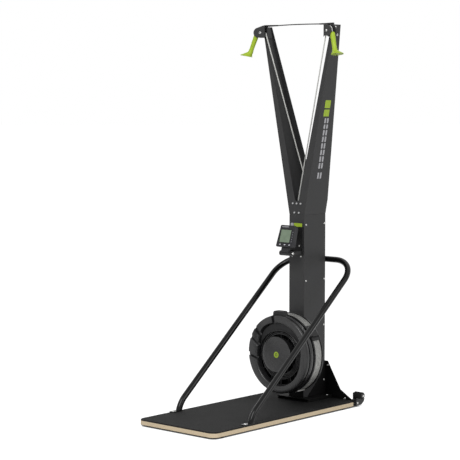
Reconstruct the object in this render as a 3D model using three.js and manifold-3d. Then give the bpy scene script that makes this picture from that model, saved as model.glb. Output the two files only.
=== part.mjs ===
// Ski trainer machine on its floor stand: a tall column that forks into two arms, a cord and
// a grip at the top of each arm, a fan flywheel in its housing at the foot, a tilting monitor,
// two brace tubes and a plywood platform with transport wheels.
// Millimetres, +Z up. The user stands toward -Y, +X is on the user's right. The origin lies on
// the floor under the middle of the footprint.
import * as THREE from 'three';
import { mergeVertices } from 'three/addons/utils/BufferGeometryUtils.js';
import Module from 'manifold-3d';

const wasm = await Module();
wasm.setup();

// Clearances and cuts
const FIT = 0.3;
const RUNNING_FIT = 0.4;
const OVERRUN = 3;

// Counts of drawing steps round a curve
const COARSE_STEPS = 16;
const ROUND_STEPS = 24;
const FINE_STEPS = 40;
const CORNER_STEPS = 6;

// Platform: plywood board with a grip sheet, on two rubber strips with pads
const PLATFORM_LENGTH = 1170;
const PLATFORM_WIDTH = 556;
const PLATFORM_CORNER_RADIUS = 42;
const PLATFORM_REAR_RADIUS = 6;
const BOARD_THICKNESS = 27;
const GRIP_THICKNESS = 3;
const GRIP_MARGIN = 3;
const PAD_HEIGHT = 6;
const PAD_RADIUS = 20;
const PAD_STRIP_THICKNESS = 2;
const PAD_STRIP_WIDTH = 20;
const PAD_SIDE_INSET = 30;
const PAD_END_INSET = 80;
const PADS_PER_SIDE = 3;
const REAR_REACH = 100;

// Base tray, rear crossbar and rear panel
const TRAY_WIDTH = 224;
const TRAY_HEIGHT = 16;
const TRAY_FRONT_LEDGE = 30;
const TRAY_SHEET = 4;
const CROSSBAR_FLOOR_GAP = 10;
const PANEL_SHEET = 5;
const PANEL_TOP_Z = 244;
const PANEL_TOP_HALF = 74;
const PANEL_KNEE_HALF = 166;
const PANEL_KNEE_Z = 90;
const PANEL_TIP_INSET = 32;
const PANEL_TIP_RISE = 4;
const GUSSET_SHEET = 3;
const GUSSET_KNEE_DEPTH = 38;
const GUSSET_KNEE_Z = 164;
const GUSSET_SHOULDER_DEPTH = 100;
const GUSSET_SHOULDER_Z = 106;
const GUSSET_FOOT_DEPTH = 150;
const GUSSET_FOOT_HEIGHT = 8;

// Transport wheels and their brackets
const WHEEL_RADIUS = 20;
const WHEEL_WIDTH = 56;
const WHEEL_AXLE_RADIUS = 5;
const WHEEL_CAP_RADIUS = 8;
const WHEEL_CAP_THICKNESS = 3;
const WHEEL_OVERHANG = 22;
const WHEEL_FLOOR_GAP = 43;
const WHEEL_REAR_GAP = 25;
const WHEEL_EDGE_ROUNDING = 5;
const EAR_THICKNESS = 5;
const EAR_MARGIN = 14;
const BRACKET_TOP_GAP = 3;
const BRACKET_WIDTH = 40;
const BRACKET_FLOOR_GAP = 8;

// Column: folded sheet channel, open at the rear behind a cover
const COLUMN_WIDTH = 108;
const COLUMN_DEPTH = 191;
const COLUMN_WALL = 3;
const COLUMN_LIP = 18;
const COLUMN_OVERHANG = 16;
const COLUMN_HEIGHT = 1038;
const COVER_SHEET = 2;
const COVER_PANEL_GAP = 8;
const COVER_SIDE_MARGIN = 3;

// Arms: channels open toward each other, tapering to the top
const ARM_HEIGHT = 1058;
const ARM_TOP_HALF_SPAN = 255;
const ARM_TOP_DEPTH = 65;
const ARM_WALL = 3;
const ARM_TOP_FLANGE = 14;
const NOTCH_HEIGHT = 83;
const NOTCH_RAMP = 10;
const NOTCH_HALF = 14;

// Joint plate behind the arms' front flanges, and the fasteners that show
const JOINT_PLATE_THICKNESS = 4;
const JOINT_PLATE_DROP = 40;
const JOINT_PLATE_SIDE_MARGIN = 2;
const BOLT_RADIUS = 4;
const BOLT_HOLE_RADIUS = 4.5;
const BOLT_HEAD_RADIUS = 7;
const BOLT_HEAD_HEIGHT = 4.5;
const JOINT_BOLT_LOW_HALF = 16;
const JOINT_BOLT_LOW_RISE = 11;
const JOINT_BOLT_HIGH_HALF = 28;
const JOINT_BOLT_HIGH_RISE = 63;

// Drive cords and their rollers
const CORD_RADIUS = 3.5;
const CORD_SIDES = 8;
const TOP_PULLEY_GROOVE = 20.5;
const TOP_PULLEY_RIM = 25;
const PULLEY_WIDTH = 14;
const PULLEY_LIP = 2;
const IDLER_GROOVE = 13;
const IDLER_RIM = 18;
const DRUM_GROOVE = 26;
const DRUM_RIM = 34;
const DRUM_WIDTH = 22;
const FRONT_LANE_SETBACK = 30;
const LANE_SPACING = 80;

// Top brackets, toed so that each nose points out and a little forward
const TOP_AXLE_X = 245;
const TOP_AXLE_DROP = 34;
const TOP_TOE = 15;
const TOP_PLATE_THICKNESS = 3;
const TOP_PULLEY_SETOUT = 23.1;
const NOSE_RADIUS = 28;
const NOSE_REACH = 14;
const NOSE_FROM = -90;
const NOSE_TO = 72;
const TOP_PLATE_INNER_REACH = 28;
const TOP_PLATE_HEEL = 5;
const TOP_PLATE_CREST_WIDTH = 9;
const TOP_PLATE_CREST_RISE = 6;
const TOP_PLATE_FRONT_GAP = 9;
const TOP_PLATE_BACK_GAP = 5.9;
const NECK_INNER_X = 217;
const NECK_DEPTH = 6;
const TONGUE_THICKNESS = 6;
const TONGUE_END_GAP = 4;
const TONGUE_LOW = 64;
const TONGUE_HIGH = 6;
const TONGUE_BOLT_FRONT = 19;
const TONGUE_BOLT_REAR = 44;
const TONGUE_BOLT_HIGH_DROP = 14;
const TONGUE_BOLT_LOW_DROP = 56;
const NECK_GAP = 1;
const LUG_INNER_X = 230;
const LUG_WIDTH = 18;
const LUG_DEPTH = 13;
const LUG_RISE = 10;

// Elastic return cord between the arms, in tapered sleeves
const RETURN_CORD_RADIUS = 3;
const RETURN_CORD_DROP = 5;
const RETURN_CORD_ARCH = 2;
const RETURN_CORD_SHARES = [[-1, 0], [-0.5, 0.75], [0, 1], [0.5, 0.75], [1, 0]];
const SLEEVE_TIP_X = 150;
const SLEEVE_TIP_RADIUS = 3.8;
const SLEEVE_ROOT_RADIUS = 5;

// Handles
const HANDLE_CORD_LENGTH = 17;
const HANDLE_LENGTH = 131;
const HANDLE_LEAN_OUT = 30;
const HANDLE_LEAN_FORWARD = 16;
const HANDLE_LEAN_DOWN = 94;
const HANDLE_TOP_RADIUS = 12.5;
const HANDLE_WAIST_RADIUS = 11;
const HANDLE_NECK_RADIUS = 13;
const HANDLE_WAIST_AT = 90;
const HANDLE_NECK_AT = 108;
const HANDLE_DISC_RADIUS = 35;
const HANDLE_DISC_THICKNESS = 4;
const HANDLE_DISC_OUT = 17;
const HANDLE_DISC_FORWARD = 6;
const HANDLE_DISC_TILT_OUT = 15;
const HANDLE_DISC_TILT_FORWARD = 10;
const HANDLE_DISC_DOWN = 100;
const HANDLE_FLARE_SHARES = [[0.35, 0.45, 0.22], [0.75, 0.75, 0.62]];

// Flywheel, its shaft and bearings
const SHAFT_Z = 315;
const SHAFT_RADIUS = 8;
const SHAFT_FRONT_REACH = 118;
const SHAFT_REAR_GAP = 10;
const COLUMN_SHAFT_HOLE = 30;
const BEARING_BOSS_RADIUS = 24;
const BEARING_BOSS_LENGTH = 5;
const BEARING_PLATE_HEIGHT = 80;
const BEARING_PLATE_THICKNESS = 4;
const FAN_TIP_GAP = 19;
const FAN_HUB_RADIUS = 24;
const FAN_DISC_THICKNESS = 5;
const FAN_BLADES = 18;
const FAN_BLADE_THICKNESS = 3;
const FAN_BLADE_INNER = 70;
const FAN_DEPTH = 48;
const FAN_SIDE_GAP = 6;

// Flywheel housing
const HOUSING_RADIUS = 222;
const HOUSING_WALL = 3;
const HOUSING_SETOUT = 165;
const FRONT_SHELL_DEPTH = 55;
const FRONT_RIM_INSET = 19;
const RIM_ROUNDING = 15;
const FUNNEL_DEPTH = 27;
const FUNNEL_THROAT_FLARE = 11;
const FUNNEL_LIP_DEPTH = 5.1;
const INTAKE_INSET = 68;
const INTAKE_DROP = 22;
const LIP_THICKNESS = 3;
const BAND_DEPTH = 66;
const REAR_SHELL_TAPER = 72;
const REAR_RIM_PROUD = 4;
const REAR_RIM_DEPTH = 8;
const REAR_SHELL_HOLE = 60;
const TOP_TAB_HALF_WIDTH = 51;
const TOP_TAB_RISE = 16;
const TOP_TAB_DEPTH = 80;
const TOP_TAB_SHIFT = 20;
const CLIP_WIDTH = 64;
const CLIP_HEIGHT = 18;
const CLIP_THICKNESS = 6;
const CLIP_ANGLE = -66;

// Bends of the shells' sections: shares of the rim's rounding and of the wall, back and inward
const RIM_ROUND_SHARES = [[0.6, 0.2], [0.9, 0.6]];
const RIM_INSIDE_ROUND_SHARES = [0.7, 0.6];
const RIM_INSIDE_WALL_SHARES = [0.2, 0.4];
const FRONT_EDGE_WALL_SHARES = [1, 0.2];
const THROAT_WALL_SHARES = [1.2, 0.6];
const REAR_KNEE_WALL_SHARE = 1.5;

// Hub cover: the still disc in the middle of the intake, on a skirt that the spoked guard carries
const HUB_DISC_GAP = 52;
const HUB_DISC_THICKNESS = 4;
const HUB_DISC_PROUD = 12;
const HUB_DISC_OVERHANG = 10;
const HUB_SKIRT_WALL = 3;
const GUARD_RING_WIDTH = 8;
const SPOKE_THICKNESS = 4;
const SPOKE_WIDTH = 5;
const SPOKES = 12;

// Damper lever on the band
const DAMPER_FROM = 24;
const DAMPER_TO = 44;
const DAMPER_THICKNESS = 3;
const DAMPER_EDGE_GAP = 3;
const DAMPER_TAB_HEIGHT = 14;
const DAMPER_TAB_THICKNESS = 5;
const DAMPER_TAB_ANGLE = 30;

// Monitor and its bracket
const MONITOR_HINGE_SETOUT = 88;
const MONITOR_DROP = 212;
const MONITOR_TILT_BACK = 17.5;
const FACE_SETOUT = 35;
const FACE_LOW = 28;
const FACE_HEIGHT = 125;
const FACE_TOP_HALF = 52;
const FACE_LOW_HALF = 60;
const FACE_CORNER = 7;
const FRONT_CASE_DEPTH = 12;
const BACK_CASE_DEPTH = 21;
const BACK_CASE_INSET = 4;
const SCREEN_SIZE = 73;
const SCREEN_CENTRE_X = -5;
const SCREEN_CENTRE_RISE = 62.5;
const SCREEN_RECESS = 3;
const LENS_THICKNESS = 2.4;
const SIDE_BUTTONS = 5;
const SIDE_BUTTON_X = 45;
const SIDE_BUTTON_FIRST_RISE = 31.5;
const SIDE_BUTTON_PITCH = 13.5;
const SIDE_BUTTON_RADIUS = 3;
const MENU_BUTTONS = 3;
const MENU_BUTTON_FIRST_X = -32;
const MENU_BUTTON_PITCH = 34;
const MENU_BUTTON_RISE = 12.5;
const MENU_BUTTON_RADIUS = 3;
const MENU_BUTTON_STRETCH = 1.9;
const BUTTON_DEPTH = 6;
const BUTTON_PROUD = 1.4;
const BUTTON_POCKET = 6.4;
const KNUCKLE_RADIUS = 14;
const KNUCKLE_HALF = 30;
const BRACKET_KNUCKLE_WIDTH = 14;
const HINGE_PIN_RADIUS = 4;
const NECK_HALF = 26;
const NECK_THICKNESS = 16;
const MONITOR_ARM_HEIGHT = 20;
const WALL_PLATE_WIDTH = 96;
const WALL_PLATE_THICKNESS = 8;
const WALL_PLATE_LOW = 15;
const WALL_PLATE_HIGH = 143;

// Brace tubes
const TUBE_RADIUS = 17;
const TUBE_WALL = 2;
const TUBE_SIDES = 12;
const TUBE_SIDE_INSET = 16;
const TUBE_JOIN_Z = 828;
const TUBE_TOP_BEND = 150;
const TUBE_FOOT_BEND = 50;
const TUBE_FOOT_DISTANCE = 914;
const TUBE_FOOT_RISE = 30;
const FOOT_PLATE_THICKNESS = 5;
const FOOT_PLATE_HALF_WIDTH = 16;
const FOOT_PLATE_FORWARD = 56;
const FOOT_PLATE_BACK = 22;
const FOOT_BOLT_FORWARD = 38;
const SADDLE_BACK = 5;
const SADDLE_HALF_LENGTH = 28;
const SADDLE_MARGIN = 12;
const SADDLE_GRIP = 6;

// Levels and planes that follow from the sizes above
const FRONT_Y = -(PLATFORM_LENGTH + REAR_REACH) / 2;
const PLATFORM_REAR_Y = FRONT_Y + PLATFORM_LENGTH;
const REAR_Y = PLATFORM_REAR_Y + REAR_REACH;
const BOARD_Z = PAD_HEIGHT + PAD_STRIP_THICKNESS;
const GRIP_Z = BOARD_Z + BOARD_THICKNESS;
const DECK_Z = GRIP_Z + GRIP_THICKNESS;
const TRAY_TOP_Z = DECK_Z + TRAY_HEIGHT;
const COLUMN_Z = TRAY_TOP_Z + FIT;
const COLUMN_REAR_Y = PLATFORM_REAR_Y + COLUMN_OVERHANG;
const COLUMN_FRONT_Y = COLUMN_REAR_Y - COLUMN_DEPTH;
const COLUMN_TOP_Z = TRAY_TOP_Z + COLUMN_HEIGHT;
const ARM_Z = COLUMN_TOP_Z + FIT;
const ARM_TOP_Z = COLUMN_TOP_Z + ARM_HEIGHT;
const NOTCH_Z = COLUMN_TOP_Z + NOTCH_HEIGHT;
const FLANGE_BACK_Y = COLUMN_FRONT_Y + ARM_WALL;
const PANEL_Y = COLUMN_REAR_Y + FIT;
const FRONT_LANE_Y = COLUMN_FRONT_Y + FRONT_LANE_SETBACK;
const REAR_LANE_Y = FRONT_LANE_Y + LANE_SPACING;
const MONITOR_HINGE_Z = COLUMN_TOP_Z - MONITOR_DROP;
const WHEEL_OUTER_X = PLATFORM_WIDTH / 2 + WHEEL_OVERHANG;
const TUBE_HALF_SPAN = PLATFORM_WIDTH / 2 - TUBE_SIDE_INSET;

// Radii of the housing and of what it holds
const FRONT_RIM_RADIUS = HOUSING_RADIUS - FRONT_RIM_INSET;
const REAR_RIM_RADIUS = HOUSING_RADIUS + REAR_RIM_PROUD;
const REAR_SHELL_BACK_RADIUS = HOUSING_RADIUS - REAR_SHELL_TAPER;
const INTAKE_RADIUS = HOUSING_RADIUS - INTAKE_INSET;
const FUNNEL_THROAT_RADIUS = INTAKE_RADIUS + FUNNEL_THROAT_FLARE;
const HUB_DISC_RADIUS = INTAKE_RADIUS - HUB_DISC_GAP;
const HUB_SKIRT_RADIUS = HUB_DISC_RADIUS - HUB_DISC_OVERHANG;
const FAN_RADIUS = HOUSING_RADIUS - HOUSING_WALL - FAN_TIP_GAP;

// A geometry with merged corners, without flat triangles and with its faces pointing out
function tidied(geometry) {
  const bare = geometry.index ? geometry.toNonIndexed() : geometry.clone();
  for (const name of Object.keys(bare.attributes)) {
    if (name !== 'position') bare.deleteAttribute(name);
  }
  const merged = mergeVertices(bare);
  const corners = merged.index.array;
  const kept = [];
  for (let i = 0; i < corners.length; i += 3) {
    const [a, b, c] = [corners[i], corners[i + 1], corners[i + 2]];
    if (a !== b && b !== c && c !== a) kept.push(a, b, c);
  }
  const place = merged.attributes.position;
  const [p, q, r] = [new THREE.Vector3(), new THREE.Vector3(), new THREE.Vector3()];
  let volume = 0;
  for (let i = 0; i < kept.length; i += 3) {
    p.fromBufferAttribute(place, kept[i]);
    q.fromBufferAttribute(place, kept[i + 1]);
    r.fromBufferAttribute(place, kept[i + 2]);
    volume += p.dot(q.cross(r));
  }
  if (volume < 0) kept.reverse();
  merged.setIndex(kept);
  return merged;
}

function solidOf(geometry) {
  const closed = tidied(geometry);
  return new wasm.Manifold(new wasm.Mesh({
    numProp: 3,
    vertProperties: new Float32Array(closed.attributes.position.array),
    triVerts: new Uint32Array(closed.index.array),
  }));
}

function geometryOf(solid) {
  const mesh = solid.getMesh();
  const geometry = new THREE.BufferGeometry();
  geometry.setAttribute('position', new THREE.BufferAttribute(mesh.vertProperties, mesh.numProp));
  geometry.setIndex([...mesh.triVerts]);
  return geometry;
}

function united(...geometries) {
  return geometryOf(geometries.map(solidOf).reduce((whole, piece) => whole.add(piece)));
}

function cut(geometry, ...tools) {
  return geometryOf(tools.map(solidOf).reduce((rest, tool) => rest.subtract(tool), solidOf(geometry)));
}

// A box given by its limits
function block(x0, x1, y0, y1, z0, z1) {
  const box = new THREE.BoxGeometry(x1 - x0, y1 - y0, z1 - z0);
  return box.translate((x0 + x1) / 2, (y0 + y1) / 2, (z0 + z1) / 2);
}

function flatShape(points) {
  return new THREE.Shape(points.map(([a, b]) => new THREE.Vector2(a, b)));
}

function extruded(points, depth) {
  return new THREE.ExtrudeGeometry(flatShape(points), { depth, bevelEnabled: false });
}

// An outline in x and y, raised from z0 to z1
function prismUp(points, z0, z1) {
  return extruded(points, z1 - z0).translate(0, 0, z0);
}

// An outline in x and z, running back from y0 to y1
function prismBack(points, y0, y1) {
  return extruded(points, y1 - y0).rotateX(Math.PI / 2).translate(0, y1, 0);
}

// An outline in y and z, running across from x0 to x1
function prismAcross(points, x0, x1) {
  const turn = new THREE.Matrix4().makeBasis(
    new THREE.Vector3(0, 1, 0), new THREE.Vector3(0, 0, 1), new THREE.Vector3(1, 0, 0));
  return extruded(points, x1 - x0).applyMatrix4(turn).translate(x0, 0, 0);
}

// Turned pieces: a profile of [radius, along] pairs about an axis along Y, X or Z
function turnedY(profile, steps) {
  return new THREE.LatheGeometry(profile.map(([r, along]) => new THREE.Vector2(r, along)), steps);
}

function turnedX(profile, steps) {
  return turnedY(profile, steps).rotateZ(-Math.PI / 2);
}

function turnedZ(profile, steps) {
  return turnedY(profile, steps).rotateX(Math.PI / 2);
}

function rodProfile(radius, from, to) {
  return [[0, from], [radius, from], [radius, to], [0, to]];
}

function ringProfile(inner, outer, from, to) {
  return [[inner, from], [outer, from], [outer, to], [inner, to], [inner, from]];
}

// A stack of like outlines, each a list of points, joined side by side and closed at both ends
function lofted(outlines) {
  const count = outlines[0].length;
  const positions = outlines.flat().flatMap((point) => [point.x, point.y, point.z]);
  const faces = [];
  for (let level = 0; level + 1 < outlines.length; level += 1) {
    for (let i = 0; i < count; i += 1) {
      const [a, b] = [level * count + i, level * count + (i + 1) % count];
      faces.push(a, b, b + count, a, b + count, a + count);
    }
  }
  const flat = outlines[0].map((point) => new THREE.Vector2(point.x, point.y));
  const last = (outlines.length - 1) * count;
  for (const [a, b, c] of THREE.ShapeUtils.triangulateShape(flat, [])) {
    faces.push(c, b, a, last + a, last + b, last + c);
  }
  const geometry = new THREE.BufferGeometry();
  geometry.setAttribute('position', new THREE.Float32BufferAttribute(positions, 3));
  geometry.setIndex(faces);
  return geometry;
}

// A closed shell from a loop of rings about axes along Y: each ring has y, radius and centre z
function ringShell(rings, steps) {
  const positions = [];
  const faces = [];
  rings.forEach(({ y, radius, z }, level) => {
    const next = ((level + 1) % rings.length) * steps;
    for (let i = 0; i < steps; i += 1) {
      const angle = (i / steps) * 2 * Math.PI;
      positions.push(radius * Math.cos(angle), y, z + radius * Math.sin(angle));
      const [a, b] = [level * steps + i, level * steps + (i + 1) % steps];
      const [c, d] = [next + i, next + (i + 1) % steps];
      faces.push(a, b, d, a, d, c);
    }
  });
  const geometry = new THREE.BufferGeometry();
  geometry.setAttribute('position', new THREE.Float32BufferAttribute(positions, 3));
  geometry.setIndex(faces);
  return geometry;
}

// A route through given points that a section is carried along, one step per point
class Route extends THREE.Curve {
  constructor(points) {
    super();
    this.points = points;
  }

  getPoint(share) {
    const along = share * (this.points.length - 1);
    const index = Math.min(Math.floor(along), this.points.length - 2);
    return this.points[index].clone().lerp(this.points[index + 1], along - index);
  }

  getPointAt(share) {
    return this.getPoint(share);
  }

  getTangentAt(share) {
    const index = Math.round(share * (this.points.length - 1));
    const before = this.points[Math.max(index - 1, 0)];
    const after = this.points[Math.min(index + 1, this.points.length - 1)];
    const here = this.points[index];
    const leaving = after.clone().sub(here).normalize();
    const arriving = here.clone().sub(before).normalize();
    return leaving.add(arriving).normalize();
  }
}

function circlePoints(radius, sides) {
  return Array.from({ length: sides }, (_, i) => {
    const angle = (i / sides) * 2 * Math.PI;
    return new THREE.Vector2(radius * Math.cos(angle), radius * Math.sin(angle));
  });
}

// A round tube along a list of points, with a bore where one is given
function tube(points, radius, sides, bore = 0) {
  const section = new THREE.Shape(circlePoints(radius, sides));
  if (bore > 0) section.holes.push(new THREE.Path(circlePoints(bore, sides)));
  return new THREE.ExtrudeGeometry(section, { steps: points.length - 1, extrudePath: new Route(points) });
}

// A round body with caps, through rings that each have a centre, a facing and a radius
function ringStack(rings, steps) {
  const positions = [];
  const faces = [];
  rings.forEach(({ centre, facing, radius }, level) => {
    const across = new THREE.Vector3(0, 1, 0).cross(facing).normalize();
    const along = facing.clone().cross(across).normalize();
    for (let i = 0; i < steps; i += 1) {
      const angle = (i / steps) * 2 * Math.PI;
      const point = centre.clone().addScaledVector(across, radius * Math.cos(angle))
        .addScaledVector(along, radius * Math.sin(angle));
      positions.push(point.x, point.y, point.z);
      if (level > 0) {
        const [a, b] = [level * steps + i, level * steps + (i + 1) % steps];
        faces.push(a, b, b - steps, a, b - steps, a - steps);
      }
    }
  });
  const ends = [[rings[0].centre, 0, 1], [rings.at(-1).centre, rings.length - 1, -1]];
  for (const [centre, level, turn] of ends) {
    const apex = positions.length / 3;
    positions.push(centre.x, centre.y, centre.z);
    for (let i = 0; i < steps; i += 1) {
      const [a, b] = [level * steps + i, level * steps + (i + 1) % steps];
      faces.push(...(turn > 0 ? [a, b, apex] : [b, a, apex]));
    }
  }
  const geometry = new THREE.BufferGeometry();
  geometry.setAttribute('position', new THREE.Float32BufferAttribute(positions, 3));
  geometry.setIndex(faces);
  return geometry;
}

// The points of a bent bar: straight runs between corners, each corner an arc of its own radius
function bentRoute(start, corners, end) {
  const points = [start];
  corners.forEach(({ at, radius }, i) => {
    const from = (i > 0 ? corners[i - 1].at : start).clone().sub(at).normalize();
    const to = (i + 1 < corners.length ? corners[i + 1].at : end).clone().sub(at).normalize();
    const half = from.angleTo(to) / 2;
    const reach = radius / Math.tan(half);
    const middle = from.clone().add(to).normalize();
    const centre = at.clone().addScaledVector(middle, radius / Math.sin(half));
    const spoke = at.clone().addScaledVector(from, reach).sub(centre);
    const turn = new THREE.Vector3().crossVectors(to, from).normalize();
    const sweep = Math.PI - 2 * half;
    for (let step = 0; step <= CORNER_STEPS; step += 1) {
      const angle = (step / CORNER_STEPS) * sweep;
      points.push(centre.clone().add(spoke.clone().applyAxisAngle(turn, angle)));
    }
  });
  points.push(end);
  return points;
}

// An outline with each corner rounded by an arc
function roundedOutline(corners, radii) {
  const points = [];
  corners.forEach(([x, y], i) => {
    const radius = radii[i];
    const at = new THREE.Vector2(x, y);
    const before = new THREE.Vector2(...corners[(i + corners.length - 1) % corners.length]).sub(at);
    const after = new THREE.Vector2(...corners[(i + 1) % corners.length]).sub(at);
    const half = Math.acos(before.normalize().dot(after.normalize())) / 2;
    const centre = at.clone().addScaledVector(before.clone().add(after).normalize(), radius / Math.sin(half));
    const first = at.clone().addScaledVector(before, radius / Math.tan(half)).sub(centre);
    const sweep = Math.sign(before.cross(after)) * -(Math.PI - 2 * half);
    for (let step = 0; step <= CORNER_STEPS; step += 1) {
      const arm = first.clone().rotateAround(new THREE.Vector2(), (step / CORNER_STEPS) * sweep);
      points.push([centre.x + arm.x, centre.y + arm.y]);
    }
  });
  return points;
}

function rectangle(x0, x1, y0, y1) {
  return [[x0, y0], [x1, y0], [x1, y1], [x0, y1]];
}

function mirrored(geometry) {
  return tidied(geometry.clone().scale(-1, 1, 1));
}

// Half the arms' outer span and half the clear gap between their flanges at a height
function outerX(z) {
  const share = (z - COLUMN_TOP_Z) / ARM_HEIGHT;
  return COLUMN_WIDTH / 2 + share * (ARM_TOP_HALF_SPAN - COLUMN_WIDTH / 2);
}

function innerX(z) {
  const share = (z - NOTCH_Z) / (ARM_TOP_Z - NOTCH_Z);
  return NOTCH_HALF + share * (ARM_TOP_HALF_SPAN - ARM_TOP_FLANGE - NOTCH_HALF);
}

// Finishes
const FINISHES = {
  black_steel: { color: 0x3c3c3c, roughness: 0.45, metalness: 0.2 },
  black_panel: { color: 0x141414, roughness: 0.5, metalness: 0.2 },
  bright_steel: { color: 0xa8a8a8, roughness: 0.3, metalness: 0.9 },
  black_plastic: { color: 0x303030, roughness: 0.55, metalness: 0 },
  grey_screen: { color: 0x8f8f8d, roughness: 0.5, metalness: 0.3 },
  rubber: { color: 0x1a1a1a, roughness: 0.8, metalness: 0 },
  plywood: { color: 0xdcc39a, roughness: 0.6, metalness: 0 },
  grip_sheet: { color: 0x2c2c2c, roughness: 0.9, metalness: 0 },
  lime_plastic: { color: 0xb4cc3c, roughness: 0.45, metalness: 0 },
  white_cord: { color: 0xd8d8d8, roughness: 0.8, metalness: 0 },
  dark_cord: { color: 0x383838, roughness: 0.8, metalness: 0 },
  screen_glass: { color: 0x7d9178, roughness: 0.2, metalness: 0 },
  button_white: { color: 0xd4d4dc, roughness: 0.5, metalness: 0 },
};

const machine = new THREE.Group();

function addPiece(name, geometry, finish, parent = machine) {
  const mesh = new THREE.Mesh(tidied(geometry), new THREE.MeshStandardMaterial(FINISHES[finish]));
  mesh.name = name;
  parent.add(mesh);
  return mesh;
}

// A round bolt head on a shank that points along +Y, the head's underside at the origin
function boltY(length) {
  const shank = turnedY(rodProfile(BOLT_RADIUS, -BOLT_HEAD_HEIGHT / 2, length), COARSE_STEPS);
  const dome = turnedY([
    [0, -BOLT_HEAD_HEIGHT],
    [BOLT_HEAD_RADIUS / 2, -BOLT_HEAD_HEIGHT],
    [BOLT_HEAD_RADIUS, -BOLT_HEAD_HEIGHT / 2],
    [BOLT_HEAD_RADIUS, 0],
    [0, 0],
  ], COARSE_STEPS);
  return united(shank, dome);
}

function holeY(radius, x, z, y0, y1) {
  return turnedY(rodProfile(radius, y0, y1), COARSE_STEPS).translate(x, 0, z);
}

// Platform: board, grip sheet and the two pad strips under it
function platformOutline(margin) {
  const half = PLATFORM_WIDTH / 2 - margin;
  const corners = rectangle(-half, half, FRONT_Y + margin, PLATFORM_REAR_Y - margin);
  const [front, rear] = [PLATFORM_CORNER_RADIUS, PLATFORM_REAR_RADIUS].map((radius) => radius - margin);
  return roundedOutline(corners, [front, front, rear, rear]);
}

function padStrip(side) {
  const x = side * (PLATFORM_WIDTH / 2 - PAD_SIDE_INSET);
  const first = FRONT_Y + PAD_END_INSET;
  const last = PLATFORM_REAR_Y - PAD_END_INSET;
  const strip = block(
    x - PAD_STRIP_WIDTH / 2, x + PAD_STRIP_WIDTH / 2, first, last,
    PAD_HEIGHT, PAD_HEIGHT + PAD_STRIP_THICKNESS);
  const pads = Array.from({ length: PADS_PER_SIDE }, (_, i) => {
    const y = first + (i / (PADS_PER_SIDE - 1)) * (last - first);
    const pad = turnedZ(rodProfile(PAD_RADIUS, 0, PAD_HEIGHT + PAD_STRIP_THICKNESS), ROUND_STEPS);
    return pad.translate(x, y, 0);
  });
  return united(strip, ...pads);
}

addPiece('platform_board', prismUp(platformOutline(0), BOARD_Z, GRIP_Z), 'plywood');
addPiece('platform_grip', prismUp(platformOutline(GRIP_MARGIN), GRIP_Z, DECK_Z), 'grip_sheet');
addPiece('pad_strip_left', padStrip(-1), 'rubber');
addPiece('pad_strip_right', padStrip(1), 'rubber');

// Base tray under the column, rear crossbar and rear panel
function baseTray() {
  const half = TRAY_WIDTH / 2;
  const inner = half - TRAY_SHEET;
  return prismBack([
    [-half, DECK_Z], [-inner, DECK_Z], [-inner, TRAY_TOP_Z - TRAY_SHEET], [inner, TRAY_TOP_Z - TRAY_SHEET],
    [inner, DECK_Z], [half, DECK_Z], [half, TRAY_TOP_Z], [-half, TRAY_TOP_Z],
  ], COLUMN_FRONT_Y - TRAY_FRONT_LEDGE, COLUMN_REAR_Y);
}

function rearPanel() {
  const half = PLATFORM_WIDTH / 2;
  const right = [
    [half, CROSSBAR_FLOOR_GAP],
    [half, DECK_Z],
    [half - PANEL_TIP_INSET, DECK_Z + PANEL_TIP_RISE],
    [PANEL_KNEE_HALF, PANEL_KNEE_Z],
    [PANEL_TOP_HALF, PANEL_TOP_Z],
  ];
  const left = right.map(([x, z]) => [-x, z]).reverse();
  const back = PANEL_Y + PANEL_SHEET;
  const panel = prismBack([...right, ...left], PANEL_Y, back);
  const inner = COLUMN_WIDTH / 2 + FIT;
  const gusset = prismAcross([
    [COLUMN_REAR_Y - GUSSET_FOOT_DEPTH, COLUMN_Z],
    [back, COLUMN_Z],
    [back, PANEL_TOP_Z],
    [PANEL_Y, PANEL_TOP_Z],
    [COLUMN_REAR_Y - GUSSET_KNEE_DEPTH, GUSSET_KNEE_Z],
    [COLUMN_REAR_Y - GUSSET_SHOULDER_DEPTH, GUSSET_SHOULDER_Z],
    [COLUMN_REAR_Y - GUSSET_FOOT_DEPTH, COLUMN_Z + GUSSET_FOOT_HEIGHT],
  ], inner, inner + GUSSET_SHEET);
  return united(panel, gusset, mirrored(gusset));
}

function crossbar() {
  const half = PLATFORM_WIDTH / 2;
  return block(-half, half, PLATFORM_REAR_Y + FIT, COLUMN_REAR_Y, CROSSBAR_FLOOR_GAP, DECK_Z - FIT);
}

addPiece('base_tray', baseTray(), 'black_panel');
addPiece('rear_crossbar', crossbar(), 'black_panel');
addPiece('rear_panel', rearPanel(), 'black_panel');

// Transport wheels on stub axles at the rear corners
const WHEEL_Y = REAR_Y - WHEEL_REAR_GAP - WHEEL_RADIUS;
const WHEEL_Z = WHEEL_FLOOR_GAP + WHEEL_RADIUS;
const WHEEL_INNER_X = WHEEL_OUTER_X - WHEEL_WIDTH;

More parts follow.
